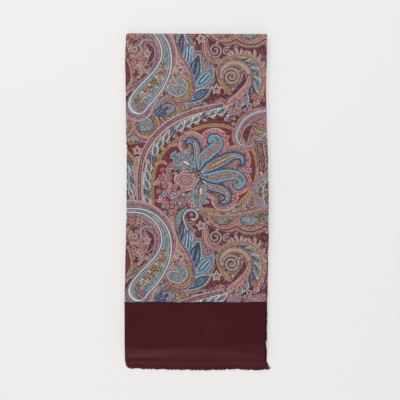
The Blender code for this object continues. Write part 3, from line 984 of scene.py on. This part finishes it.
def gold_teardrop(art):
    """The gold teardrop low on the right: a curled head with leaf scales wrapped about it."""
    ribbon(art, CURLED[6:], "12.0 wine, 11.0 dusty, 9.6 wine, 8.6 rose, 7.0 wine, 6.0 mauve")
    whole = curve(CURLED + table("118 8, 108 12"), 2.2)
    art.paint(whole, "wine")
    art.banded("106.5 45 13.0, 106.5 38 12.6, 105.5 30 8.4, 104 23 1.0", "0 olive")
    for i, (x, y, along) in enumerate(points_along(curve(RIB[2:], 2.0), 7.4)):
        side = along + QUARTER
        heading = math.degrees(along) + 30 + 4 * i
        kind = ("white_teal", "slate", "white_grey", "white_grey")[i % 4]
        art.leaf(x + 2.6 * math.cos(side), y + 2.6 * math.sin(side), 17.0, 8.4, heading, kind, -34)
    for i, (x, y, along) in enumerate(points_along(curve(CURLED[5:], 2.0), 4.6)):
        if i % 2:
            art.leaf(x, y, 6.4, 3.0, math.degrees(along) + 40, ("grey", "pink", "rose")[i % 3], 20)
    ribbon(art, CURLED, "4.8 wine, 3.8 peach, 2.4 brown, 1.8 ochre")
    art.beads(CURLED, 2.0, 2.2, 0.6, "brown")
    ribbon(art, RIB, "8.0 wine, 7.0 mauve, 5.4 brown, 4.8 ochre, 3.2 wine, 2.4 dusty, 0.7 wine")
    art.wound(106.4, 38.8, 8.8, 160, "3.6 wine, 2.2 dusty, 0.7 mauve", -1.9)
    flower_bed(art, swept("114 45 3.0, 115 38 3.4, 111.5 31 3.4, "
        "106 26 2.2"), "ochre olive cream", 3.2, 1.6, 2)
    art.banded("119 41 0.8, 118.6 34 2.4, 113.6 27.4 2.4, 107.4 21.6 1.0", "-0.6 mauve, 0 ground")
    tail = table("124.5 40 1.0, 122.6 31 2.4, 115.6 22 3.2, 108 15 3.2, 100 10 2.2")
    art.banded(tail, "-1.0 wine, -0.3 dusty, 0.5 peach")
    art.beads(tail, 2.0, 3.0, 0.8, "crimson")
    for x, y, turn, length in table(
        "112 60 84 12, 109 60 112 8, 115.5 60.5 58 8, 106 60 140 6, 119 60.5 40 7, 129 57.5 66 11, "
        "125.5 59 96 8, 132.5 55 44 9, 137 48 52 8"
    ):
        art.leaf(x, y, length, 5.0, turn, "flame", 30)
        art.leaf(x, y, length * 0.7, 1.8, turn, "grey", 30)
    spray(art, "112 13, 119 17, 124 10, 114 7, 129 19, 106 6, 121 24", 3.6, "pink peach grey", 6)


def scrolls(art):
    """The scroll with its peach crescent, the curls beside it and the stars on the ground."""
    bare = table("72 86, 84 77, 98 71, 118 67, 142 67, 142 61, 104 61, 94 54, 90 42, 90 34, 84 20")
    art.paint(curve(bare + table("76 13, 88 16, 98 20, 100 28, 97 40, 80 60, 70 74, 72 86"), 3), "ground")
    stem = table("80.6 75 1.0, 80.6 67 2.2, 83.4 59.6 2.8, 89 55.4 2.6, 95 54 1.2")
    art.banded(stem, "-2.2 wine, -1.5 dusty, -0.7 wine, 0 peach, 1.4 rose")
    art.beads(stem, 1.5, 2.6, 0.6, "crimson")
    for x, y, radius, turn, turns in table("90 65 7.2 250 1.6, 102 64 4.4 60 1.3"):
        art.wound(x, y, radius, turn, "2.8 wine, 1.7 dusty, 0.6 mauve", turns)
    star(art, 91.5, 26.4, 6.0, 90)
    star(art, 76, 76.5, 5.6, 30)
    for x, y, turn in table("82 79 20, 94 73.6 200, 72 82 70"):
        art.leaf(x, y, 5, 2.2, turn, "pink", 30)


def leaf_hook(art):
    """The hook that the blue leaves' pale line makes over the first of them."""
    art.banded("52.5 70 1.0, 53 80 3.0, 56 88 3.6, 62 94.5 1.6", "-0.6 wine, 0 olive, 1.2 teal")
    art.paint(disc(66, 87, 5.2), "ground")
    hook = table("63 72, 60.4 78.5, 58.6 85, 60.8 90, 66 92.4, 71 90, 72.4 85.6, 69.6 82.2, 66.4 83.4")
    ribbon(art, hook, "3.8 wine, 3.0 grey, 1.7 slate, 0.8 white")
    art.bloom(66.4, 87.4, 2.2, "pink")


def ring_foot(art):
    """The pink lines under the ring and the garland that runs on from it."""
    foot = table("62 0, 70 2.6, 79 6.4, 88 10, 96 13.4")
    ribbon(art, foot, "11.0 wine, 10.0 bed")
    flower_bed(art, swept([(x, y, 4.6) for x, y in foot]), "pink peach grey rose blue", 4.4, 2.6, 7)
    flower_bed(art, swept("98 3 4.0, 112 2 4.4, 124 4 4.2, 140 6 3.0"), "pink peach grey rose", 4.4, 2.6, 8)
    base = table("58 97, 70 93.4, 84 88.6, 98 86.4, 112 87.6, 128 91, 148 97")
    ribbon(art, base, "8.0 wine, 7.0 rose, 5.0 wine, 4.2 ochre, 2.6 wine, 1.8 dusty, 0.6 mauve")


# Each motif covers a part of the ones before it
MOTIFS = (
    ground_cover, leaf_chain, lobes_and_drop, left_teardrop, scrolls, gold_teardrop, ring_foot, ring,
    ring_flower, right_teardrops, leaf_hook, great_teardrop,
)


def printed_artwork(left, right, low, high):
    """The whole print between these margins, in drawing units."""
    art = Drawing(left, right, low, high)
    for motif in MOTIFS:
        motif(art)
    art.drop_covered()
    return art


def drawn_place(across, along):
    """Drawing units of a place on the flat cloth."""
    return np.stack([(across - PRINT_LEFT) / PRINT_UNIT, (along - PRINT_LOW) / PRINT_UNIT], -1)


def repeated(drawn):
    """The same places of the print in its first repeat."""
    drawn[:, 1] %= CELL
    return drawn


def flat_place(drawn):
    """Places in drawing units as millimetres on the flat cloth."""
    return drawn * PRINT_UNIT + np.array([PRINT_LEFT, PRINT_LOW])


def linked(name, data):
    """An object for this mesh, light or camera, in the scene."""
    obj = bpy.data.objects.new(name, data)
    bpy.context.collection.objects.link(obj)
    return obj


def add_piece(name, points, faces, material, nodes, slot):
    """A mesh piece from points in millimetres, riding on the scarf."""
    mesh = bpy.data.meshes.new(name)
    mesh.from_pydata((np.asarray(points) * MM).tolist(), [], [list(map(int, face)) for face in faces])
    mesh.update()
    mesh.shade_smooth()
    obj = linked(name, mesh)
    mesh.materials.append(material)
    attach(obj, "root")
    if nodes:
        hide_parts(*nodes)
    return obj


def dye_faces(obj, art, drawn):
    """Gives each face the print's colour at its place in the drawing."""
    mesh, colours = obj.data, art.dye_at(drawn)
    attribute = mesh.color_attributes.new("print", "FLOAT_COLOR", "CORNER")
    counts = np.empty(len(mesh.polygons), np.int32)
    mesh.polygons.foreach_get("loop_total", counts)
    attribute.data.foreach_set("color", np.repeat(colours, counts, axis=0).astype(np.float32).ravel())


def middles_of(points, faces):
    """X, y and z of the middle of each face."""
    return np.array([points[list(face)].mean(axis=0) for face in faces]).T


def grid_faces(rows, columns, closed=False):
    """Quads between rows of points, each row this many points long."""
    faces = []
    for row in range(rows - 1):
        for column in range(columns if closed else columns - 1):
            a, b = row * columns + column, row * columns + (column + 1) % columns
            faces.append((a, b, b + columns, a + columns))
    return faces


# How far the printed cloth goes on past its folds, and how finely it is divided
WRAP = 9.0
TOP_WRAP = 7.6
FLAT_ROW = 4.0
FLAT_COLUMNS = 34
TURN_ROWS = 15
FOLD_COLUMNS = 6
CUT_TOLERANCE = 0.004

# The rolled hems, and how far the lower layer of cloth stops short of its own
HEM_RADIUS = 0.52
LOWER_HEM_RADIUS = 0.46
UNDER_HEM = 0.15


def cloth_margins():
    """Where the printed cloth's margins run on the flat: its places along, its left and its right."""
    top = TOP_END - TURN + math.pi * TURN + TOP_WRAP
    level = np.arange(SEAM, TOP_END - TURN, FLAT_ROW)
    along = np.concatenate([level, np.linspace(TOP_END - TURN, top, TURN_ROWS)])
    held = np.minimum(along, TOP_END)
    left = edge(held, "left") + FOLD - math.pi * FOLD - WRAP
    return along, left, edge(held, "right")


def cut_along_artwork(art, along, left, right):
    """Triangles of the flat cloth, cut so that none of them lies in two colours."""
    rim = np.vstack([np.stack([left, along], 1), np.stack([right, along], 1)[::-1]])
    corners = [drawn_place(*rim.T)]
    edges = [(i, (i + 1) % len(rim)) for i in range(len(rim))]
    count = len(rim)
    for v, low, high in zip(along[1:-1], left[1:-1], right[1:-1]):
        fold_x = low + math.pi * FOLD + WRAP
        turned = fold_x - FOLD * np.linspace(0.15, math.pi, FOLD_COLUMNS)
        level = fold_x + (high - fold_x) * np.linspace(0, 1, FLAT_COLUMNS)[1:-1]
        across = np.concatenate([turned, [low + WRAP / 2], level])
        corners.append(drawn_place(across, np.full(len(across), v)))
        count += len(across)
    for outline in art.outlines:
        size = len(outline)
        corners.append(outline)
        edges += [(count + i, count + (i + 1) % size) for i in range(size)]
        count += size
    made = delaunay_2d_cdt(np.vstack(corners).tolist(), edges, [], 0, CUT_TOLERANCE)
    places, faces = np.array([tuple(v) for v in made[0]]), np.array([tuple(f) for f in made[2]])
    middles = flat_place(places[faces].mean(axis=1))
    kept = (middles[:, 0] > np.interp(middles[:, 1], along, left)) & (middles[:, 1] > along[0])
    kept &= (middles[:, 0] < np.interp(middles[:, 1], along, right)) & (middles[:, 1] < along[-1])
    used, index = np.unique(faces[kept], return_inverse=True)
    return places[used], index.reshape(-1, 3)


def printed_cloth(material):
    """The printed upper layer, round the lengthways fold and the top turn."""
    along, left, right = cloth_margins()
    first, last = drawn_place(left.min(), along.min()), drawn_place(right.max(), along.max())
    art = printed_artwork(first[0], last[0], first[1], last[1])
    places, faces = cut_along_artwork(art, along, left, right)
    across, up = flat_place(places).T
    obj = add_piece("printed_cloth", folded(across, up), faces, material, ["printed_panel"], "printed_silk")
    dye_faces(obj, art, places[faces].mean(axis=1))
    flat = places - places.min(axis=0)
    flat = (0.01 + 0.98 * flat / flat.max(axis=0)).astype(np.float32)
    obj.data.uv_layers.new(name="OFBake").uv.foreach_set("vector", flat[faces.ravel()].ravel())
    return art


def lower_hem(along):
    """Where the lower layer's hem runs: halfway from the upper one's to the stack's, and wider at the end."""
    right, under = edge(along, "right"), edge(along, "under_right")
    past_stack = ease((UNDER_END - along) / HEM_SETTLE)
    middle = right + (under - right) * 0.5
    return middle + (under - middle) * past_stack


# Small creases in the plain band, besides the scarf's own ridges
BAND_CREASES = (
    Ridge(-46.0, -155.0, 2.0, 30.0, 2.6, -0.35),
    Ridge(30.0, -154.0, -2.0, 36.0, 2.4, -0.35),
    Ridge(8.0, -162.5, 62.0, 7.0, 1.6, 0.2),
    Ridge(3.0, -163.5, 66.0, 6.0, 1.6, -0.2),
    Ridge(-64.0, -178.0, 2.0, 22.0, 2.2, -0.55),
    Ridge(56.0, -173.0, -8.0, 22.0, 3.0, 0.3),
    Ridge(-18.0, -128.0, 86.0, 14.0, 4.0, 0.12),
    Ridge(44.0, -124.0, 94.0, 12.0, 5.0, 0.12),
    Ridge(0.0, -147.0, 1.5, 130.0, 6.5, -0.7),
)


# How far the cloth's underside stays off the surface it lies on
CLEAR = 0.06


def round_the_fold(along, right_inset, lower_inset, over, turn, under):
    """Places across the doubled cloth, with so many over it, round the lengthways fold and back under it."""
    fold_x = float(edge(along, "left")) + FOLD
    right = float(edge(along, "right")) - right_inset
    lower = float(lower_hem(along)) - lower_inset - fold_x
    return fold_x, np.concatenate([
        np.linspace(right, fold_x, over),
        fold_x - FOLD * np.linspace(0, math.pi, turn)[1:],
        fold_x - math.pi * FOLD - np.linspace(0, lower, under)[1:],
    ])


def band_cloth(material):
    """The plain end, doubled round the lengthways fold, level on the stack and then down to the surface."""
    level, drape = np.linspace(SEAM, DRAPE_START + 6, 24), np.linspace(DRAPE_START + 5, BAND_END, 46)
    points = []
    for along in np.concatenate([level, drape]):
        fold_x, across = round_the_fold(along, HEM_RADIUS, UNDER_HEM, 90, 10, 30)
        row = folded(across, np.full(len(across), along))
        fade = ease((across - fold_x) / RIDGE_FADE)
        row[:, 2] += np.where(across > fold_x, relief(BAND_CREASES, across, along) * fade, 0.0)
        row[:, 2] = np.maximum(row[:, 2], CLEAR)
        points.append(row)
    faces = [face[::-1] for face in grid_faces(len(points), len(points[0]))]
    return add_piece("band_cloth", np.vstack(points), faces, material, ["end_band"], "plain_silk")


def tube(path, radius, reference, sides, flatness=1.0):
    """Points and faces of a closed tube; its section is flattened along the path's second normal."""
    path = np.asarray(path, float)
    way = np.gradient(path, axis=0)
    way /= np.linalg.norm(way, axis=1)[:, None]
    second = np.cross(way, np.broadcast_to(reference, path.shape))
    second /= np.linalg.norm(second, axis=1)[:, None]
    first = np.cross(second, way)
    angles = 2 * math.pi * np.arange(sides) / sides
    ring = first[:, None] * np.cos(angles)[:, None] + second[:, None] * np.sin(angles)[:, None] * flatness
    points = (path[:, None] + ring * radius).reshape(-1, 3)
    faces = grid_faces(len(path), sides, closed=True)
    last = len(points) - sides
    faces += [tuple(range(sides))[::-1], tuple(range(last, last + sides))]
    return points, faces


def joined(parts):
    """Points and faces of several meshes as one."""
    points, faces, count = [], [], 0
    for part_points, part_faces in parts:
        points.append(part_points)
        faces += [tuple(index + count for index in face) for face in part_faces]
        count += len(part_points)
    return np.vstack(points), faces


def rolled_hems(name, along, material, slot, art=None):
    """The narrow rolled hems of the doubled cloth's two free edges."""
    along = np.asarray(along)
    held = np.minimum(along, TOP_END)
    wave = 0.08 * np.sin(along * 0.83) + 0.06 * np.sin(along * 2.3 + 1)
    upper = folded(edge(held, "right") - HEM_RADIUS + wave, along, HEM_RADIUS)
    lower = folded(lower_hem(held) - LOWER_HEM_RADIUS - wave, along, DOUBLE - LOWER_HEM_RADIUS)
    parts = [tube(upper, HEM_RADIUS, (1, 0, 0), 10), tube(lower, LOWER_HEM_RADIUS, (1, 0, 0), 8)]
    points, faces = joined(parts)
    obj = add_piece(name, points, faces, material, None, slot)
    if art:
        x, y, z = middles_of(points, faces)
        dye_faces(obj, art, repeated(drawn_place(x - z, y)))
    return obj


# The stitches' spacing with how far it strays, their length and their thread's radius
STITCH_GAP = 3.6
STITCH_STRAY = 0.4
STITCH_LENGTH = 1.0
STITCH_RADIUS = 0.09


def hem_stitches(material):
    """Slip stitches that hold the upper rolled hem, a few millimetres apart."""
    scatter = random.Random(21)
    parts = []
    place = BAND_END + 2
    while place < TOP_END - TURN - 2:
        along = place + STITCH_LENGTH * np.array([0.0, 0.5, 1.0])
        across = float(edge(place, "right")) - HEM_RADIUS * 2 + np.array([-0.35, 0.1, 0.6])
        path = folded(across, along)
        path[:, 2] += np.array([0.0, 0.1, 0.02])
        parts.append(tube(path, STITCH_RADIUS, (1, 0, 0), 4))
        place += STITCH_GAP + scatter.uniform(-STITCH_STRAY, STITCH_STRAY)
    return add_piece("hem_stitches", *joined(parts), material, None, "plain_silk")


# The seam's half width, and its height as a share of that
SEAM_HALF = 0.85
SEAM_FLATNESS = 0.35


def seam_ridge(material):
    """The dark turned seam between the panel and the band, round the fold and under it."""
    _, across = round_the_fold(SEAM, 0.2, 0.0, 120, 9, 20)
    along = np.full(len(across), SEAM) + 0.28 * np.sin(across * 0.11) + 0.12 * np.sin(across * 0.47 + 2)
    path = folded(across, along, -0.02)
    ridge = tube(path, SEAM_HALF, (0, 1, 0), 8, SEAM_FLATNESS)
    return add_piece("seam_ridge", *ridge, material, None, "plain_silk")


# The hidden layers: how far each ply's hem and each fold stand back, and how finely their edges are modelled
HEM_INSETS = (0.9, 0.2, 1.3, 0.5, 1.0, 0.0)
FOLD_INSETS = (0.9, 1.5, 0.6)
PLY_LEVELS = 7
LAYER_ROWS = 132
LAYER_COLUMNS = 60

# Their lowest turn, the second end under them, the groove between plies and how far the print shifts per ply
LOW_TURN = 0.9
FAR_END_INSET = 6.0
LAYER_GROOVE = 0.22
PLY_SHIFT = 31.0


def round_inset(height, middle, radius):
    """How far a round edge of this radius stands back at this height."""
    rise = min(abs(height - middle), radius)
    return radius - math.sqrt(radius * radius - rise * rise)


def layer_grid(ply, height):
    """The hidden layers' section at one height, as places in rows along and columns from hem to fold."""
    stretch = ply // 2
    middle = (ply + 0.5) * UNDER_PLY
    bulge = round_inset(height, middle, UNDER_PLY / 2)
    if abs(height - middle) > UNDER_PLY * 0.48:
        bulge += LAYER_GROOVE
    fold_in = FOLD_INSETS[stretch] + round_inset(height, (2 * stretch + 1) * UNDER_PLY, UNDER_PLY)
    far = TAIL_END - 0.4
    if height < 2 * LOW_TURN:
        far = UNDER_TOP_END - round_inset(height, LOW_TURN, LOW_TURN)
    near = UNDER_END + round_inset(height, 4 * UNDER_PLY, 2 * UNDER_PLY)
    if height < 2 * UNDER_PLY:
        near = UNDER_END + FAR_END_INSET
    along = near + (far - near) * np.linspace(0, 1, LAYER_ROWS)
    corner = 0.9 * (np.clip(1 - (along - near) / 1.5, 0, 1) + np.clip(1 - (far - along) / 1.5, 0, 1))
    wave = 0.16 * np.sin(along * 0.21 + ply * 2.1) + 0.1 * np.sin(along * 0.57 + ply)
    right = edge(along, "under_right") - HEM_INSETS[ply] - bulge - corner / 2 + wave
    left = edge(along, "left") + fold_in + corner - wave
    share = np.linspace(0, 1, LAYER_COLUMNS)
    across = right[:, None] + (left - right)[:, None] * share
    level = np.clip(height, 0.02, UNDER)
    return np.stack([across, np.broadcast_to(along[:, None], across.shape), np.full(across.shape, level)], -1)


def rim_cells(rows, columns):
    """The cells round a grid's rim, in order."""
    cells = [(row, 0) for row in range(rows - 1)]
    cells += [(rows - 1, column) for column in range(columns - 1)]
    cells += [(row, columns - 1) for row in range(rows - 1, 0, -1)]
    return cells + [(0, column) for column in range(columns - 1, 0, -1)]


def layered_edges(material, art):
    """The three stretches under the top one, with every ply's hem and every fold showing at the edges."""
    grids = []
    for ply in range(UNDER_PLIES):
        for level in range(PLY_LEVELS):
            share = 0.5 - 0.5 * math.cos(math.pi * level / (PLY_LEVELS - 1))
            grids.append(layer_grid(ply, (ply + 0.01 + 0.98 * share) * UNDER_PLY))
    cells = rim_cells(LAYER_ROWS, LAYER_COLUMNS)
    size = LAYER_ROWS * LAYER_COLUMNS
    walls = [np.array([grid[cell] for cell in cells]) for grid in grids[1:-1]]
    points = np.vstack([grids[0].reshape(-1, 3), grids[-1].reshape(-1, 3)] + walls)
    low = [row * LAYER_COLUMNS + column for row, column in cells]
    loops = [low] + [[2 * size + i * len(cells) + j for j in range(len(cells))] for i in range(len(walls))]
    loops.append([index + size for index in low])
    faces = []
    for lower, upper in zip(loops, loops[1:]):
        for i in range(len(cells)):
            j = (i + 1) % len(cells)
            faces.append((lower[i], lower[j], upper[j], upper[i]))
    sole = grid_faces(LAYER_ROWS, LAYER_COLUMNS)
    faces += [face[::-1] for face in sole] + [tuple(index + size for index in face) for face in sole]
    obj = add_piece("layered_edges", points, faces, material, ["folded_layers"], "printed_silk")
    x, y, z = middles_of(points, faces)
    dye_faces(obj, art, repeated(drawn_place(x, y + PLY_SHIFT * np.floor(z / UNDER_PLY))))
    return obj


# Where the fringe's threads end, and its two rows
Tip = namedtuple("Tip", "x along")
TIPS = (
    Tip(-83.0, -189.4),
    Tip(-76.0, -190.6),
    Tip(-58.0, -191.3),
    Tip(-28.0, -192.0),
    Tip(5.0, -192.6),
    Tip(26.0, -192.3),
    Tip(41.0, -191.3),
    Tip(60.0, -192.4),
    Tip(76.0, -192.2),
    Tip(84.0, -188.0),
)
Fringe = namedtuple("Fringe", "name node threads left right height tip_height seed")
FRINGES = (
    Fringe("fringe_upper", "end_fringe_upper", 3400, -82.4, 76.6, 1.75, 1.0, 3),
    Fringe("fringe_lower", "end_fringe_lower", 2800, -82.0, 79.4, 0.5, 0.4, 8),
)

# How the threads spread at the right corner and draw in at the left one
FLARE = 4.4
FLARE_START = 66.0
FLARE_END = 79.6
CURL = 2.2
CURL_START = -82.9
CURL_REACH = 9.0

# A thread's radius, a tuft's width, the share of broken threads and the sections along each
THREAD = 0.2
TUFT = 2.4
BROKEN = 0.06
SECTIONS = 7


def fringe(row, material):
    """Fine threads drawn out of the cloth's end, in loose tufts with uneven tips."""
    scatter = np.random.default_rng(row.seed)
    count = row.threads
    root_x = np.linspace(row.left, row.right, count) + scatter.uniform(-0.1, 0.1, count)
    tuft = (np.floor(root_x / TUFT) + 0.5) * TUFT
    tuft += 0.7 * np.sin(np.floor(root_x / TUFT) * 2.4)
    pull = scatter.uniform(0.0, 0.3, count)
    out = FLARE * ease((root_x - FLARE_START) / (FLARE_END - FLARE_START))
    inwards = CURL * ease(1 - (root_x - CURL_START) / CURL_REACH)
    tip_x = root_x + (tuft - root_x) * pull + out + inwards + scatter.normal(0, 0.35, count)
    uneven = np.abs(scatter.normal(0, 0.3, count))
    swell = 0.45 * np.sin(root_x * 0.9 + np.sin(root_x * 0.23) * 3)
    tip_y = along_rows(TIPS, root_x, "along") + uneven + swell
    short = scatter.random(count) < BROKEN
    tip_y = np.where(short, tip_y + scatter.uniform(0.3, 1.6, count), tip_y)
    share = np.linspace(0, 1, SECTIONS)
    sway = scatter.normal(0, 0.22, count)[:, None]
    wave = sway * np.sin(share * math.pi * 1.6 + scatter.uniform(0, 3, count)[:, None])
    stray = scatter.uniform(-0.3, 0.3, count)[:, None]
    start_y = BAND_END + 1.0
    x = root_x[:, None] + (tip_x - root_x)[:, None] * share**1.5 + wave * share
    y = start_y + (tip_y - start_y)[:, None] * share
    z = row.height + (row.tip_height - row.height) * share**1.4 + stray * share
    z = np.maximum(z, THREAD + 0.03)
    radius = THREAD * (1 - 0.4 * share)
    middle = np.stack([x, y, z], -1)
    angles = 2 * math.pi * np.arange(3) / 3
    ring = np.stack([np.cos(angles), np.zeros(3), np.sin(angles)], -1)
    points = (middle[:, :, None] + ring * radius[None, :, None, None]).reshape(-1, 3)
    faces = []
    for thread in range(count):
        base = thread * SECTIONS * 3
        for section in range(SECTIONS - 1):
            for side in range(3):
                a, b = base + section * 3 + side, base + section * 3 + (side + 1) % 3
                faces.append((a, a + 3, b + 3, b))
        faces.append((base, base + 1, base + 2))
        last = base + (SECTIONS - 1) * 3
        faces.append((last + 2, last + 1, last))
    return add_piece(row.name, points, faces, material, [row.node], "silk_fringe")


# The floor's half side in metres and its colours, the light of the room and the lamps
FLOOR_HALF = 1.5
FLOOR_COLOUR = (171, 170, 169)
FLOOR_GLOW = (239, 238, 236)
GLOW_STRENGTH = 0.54
ROOM_LIGHT = 0.6
Lamp = namedtuple("Lamp", "name place size power")
LAMPS = (
    Lamp("key", (-0.4, -1.7, 0.9), 1.0, 10.0),
    Lamp("head_end", (-0.35, 0.9, 0.9), 0.7, 6.0),
)

# What the camera sees of the floor's width, and the middle of it
VIEW_WIDTH = 458.4 * MM
VIEW_MIDDLE = (3.1 * MM, 2.35 * MM)


def floor_and_lights():
    """A pale floor, a soft even light and a camera straight above."""
    mesh = bpy.data.meshes.new("floor")
    corners = [(x * FLOOR_HALF, y * FLOOR_HALF, 0) for x, y in ((-1, -1), (1, -1), (1, 1), (-1, 1))]
    mesh.from_pydata(corners, [], [(0, 1, 2, 3)])
    linked("floor", mesh)
    material, shader = new_shader("pale_floor")
    shader.inputs["Base Color"].default_value = linear(FLOOR_COLOUR)
    shader.inputs["Roughness"].default_value = 0.9
    shader.inputs["Emission Color"].default_value = linear(FLOOR_GLOW)
    shader.inputs["Emission Strength"].default_value = GLOW_STRENGTH
    mesh.materials.append(material)

    scene = bpy.context.scene
    scene.world = scene.world or bpy.data.worlds.new("studio")
    scene.world.use_nodes = True
    background = scene.world.node_tree.nodes["Background"]
    background.inputs["Color"].default_value = (1.0, 1.0, 1.0, 1.0)
    background.inputs["Strength"].default_value = ROOM_LIGHT
    for lamp in LAMPS:
        light = bpy.data.lights.new(lamp.name, "AREA")
        light.size = lamp.size
        light.energy = lamp.power
        obj = linked(lamp.name, light)
        obj.location = lamp.place
        obj.rotation_euler = (-obj.location).to_track_quat("-Z", "Y").to_euler()

    camera = bpy.data.cameras.new("camera")
    camera.lens = 100.0
    camera.sensor_width = 36.0
    scene.camera = linked("camera", camera)
    scene.camera.location = (*VIEW_MIDDLE, VIEW_WIDTH * camera.lens / camera.sensor_width)
    scene.view_settings.view_transform = "Standard"


floor_and_lights()
# The plain silks, each from its darkest to its palest
BURGUNDY = ((74, 32, 37), (81, 35, 41))
SEAM_SHADE = ((30, 24, 44), (38, 30, 52))
# The fringe's burgundy is paler than the band's own silk: painted light that makes up for the shade between
# its threads
FRINGE_PAINTED_LIGHT = ((101, 45, 51), (113, 53, 61))
print_silk = silk("printed_silk", None, bump=0.15, roughness=0.48, gloss=0.3)
plain_silk = silk("plain_silk", BURGUNDY, bump=0.3, roughness=0.45, metal=0.6, gloss=0.12)
seam_silk = silk("seam_silk", SEAM_SHADE, bump=0.3, roughness=0.6)
fringe_silk = silk("fringe_silk", FRINGE_PAINTED_LIGHT, ribs=0.5, bump=0.2, metal=0.5, gloss=0.12)

artwork = printed_cloth(print_silk)
band = band_cloth(plain_silk)
fringes = [fringe(row, fringe_silk) for row in FRINGES]
seam = seam_ridge(seam_silk)
turn_start = TOP_END - TURN
turn_end = turn_start + math.pi * TURN + TOP_WRAP
panel_along = np.concatenate([np.arange(SEAM, turn_start, 1.2), np.linspace(turn_start, turn_end, 16)])
rolled_hems("panel_hems", panel_along, print_silk, "printed_silk", artwork)
band_hems = rolled_hems("band_hems", np.arange(SEAM, BAND_END, -0.6), plain_silk, "plain_silk")
hem_stitches(plain_silk)
layers = layered_edges(print_silk, artwork)
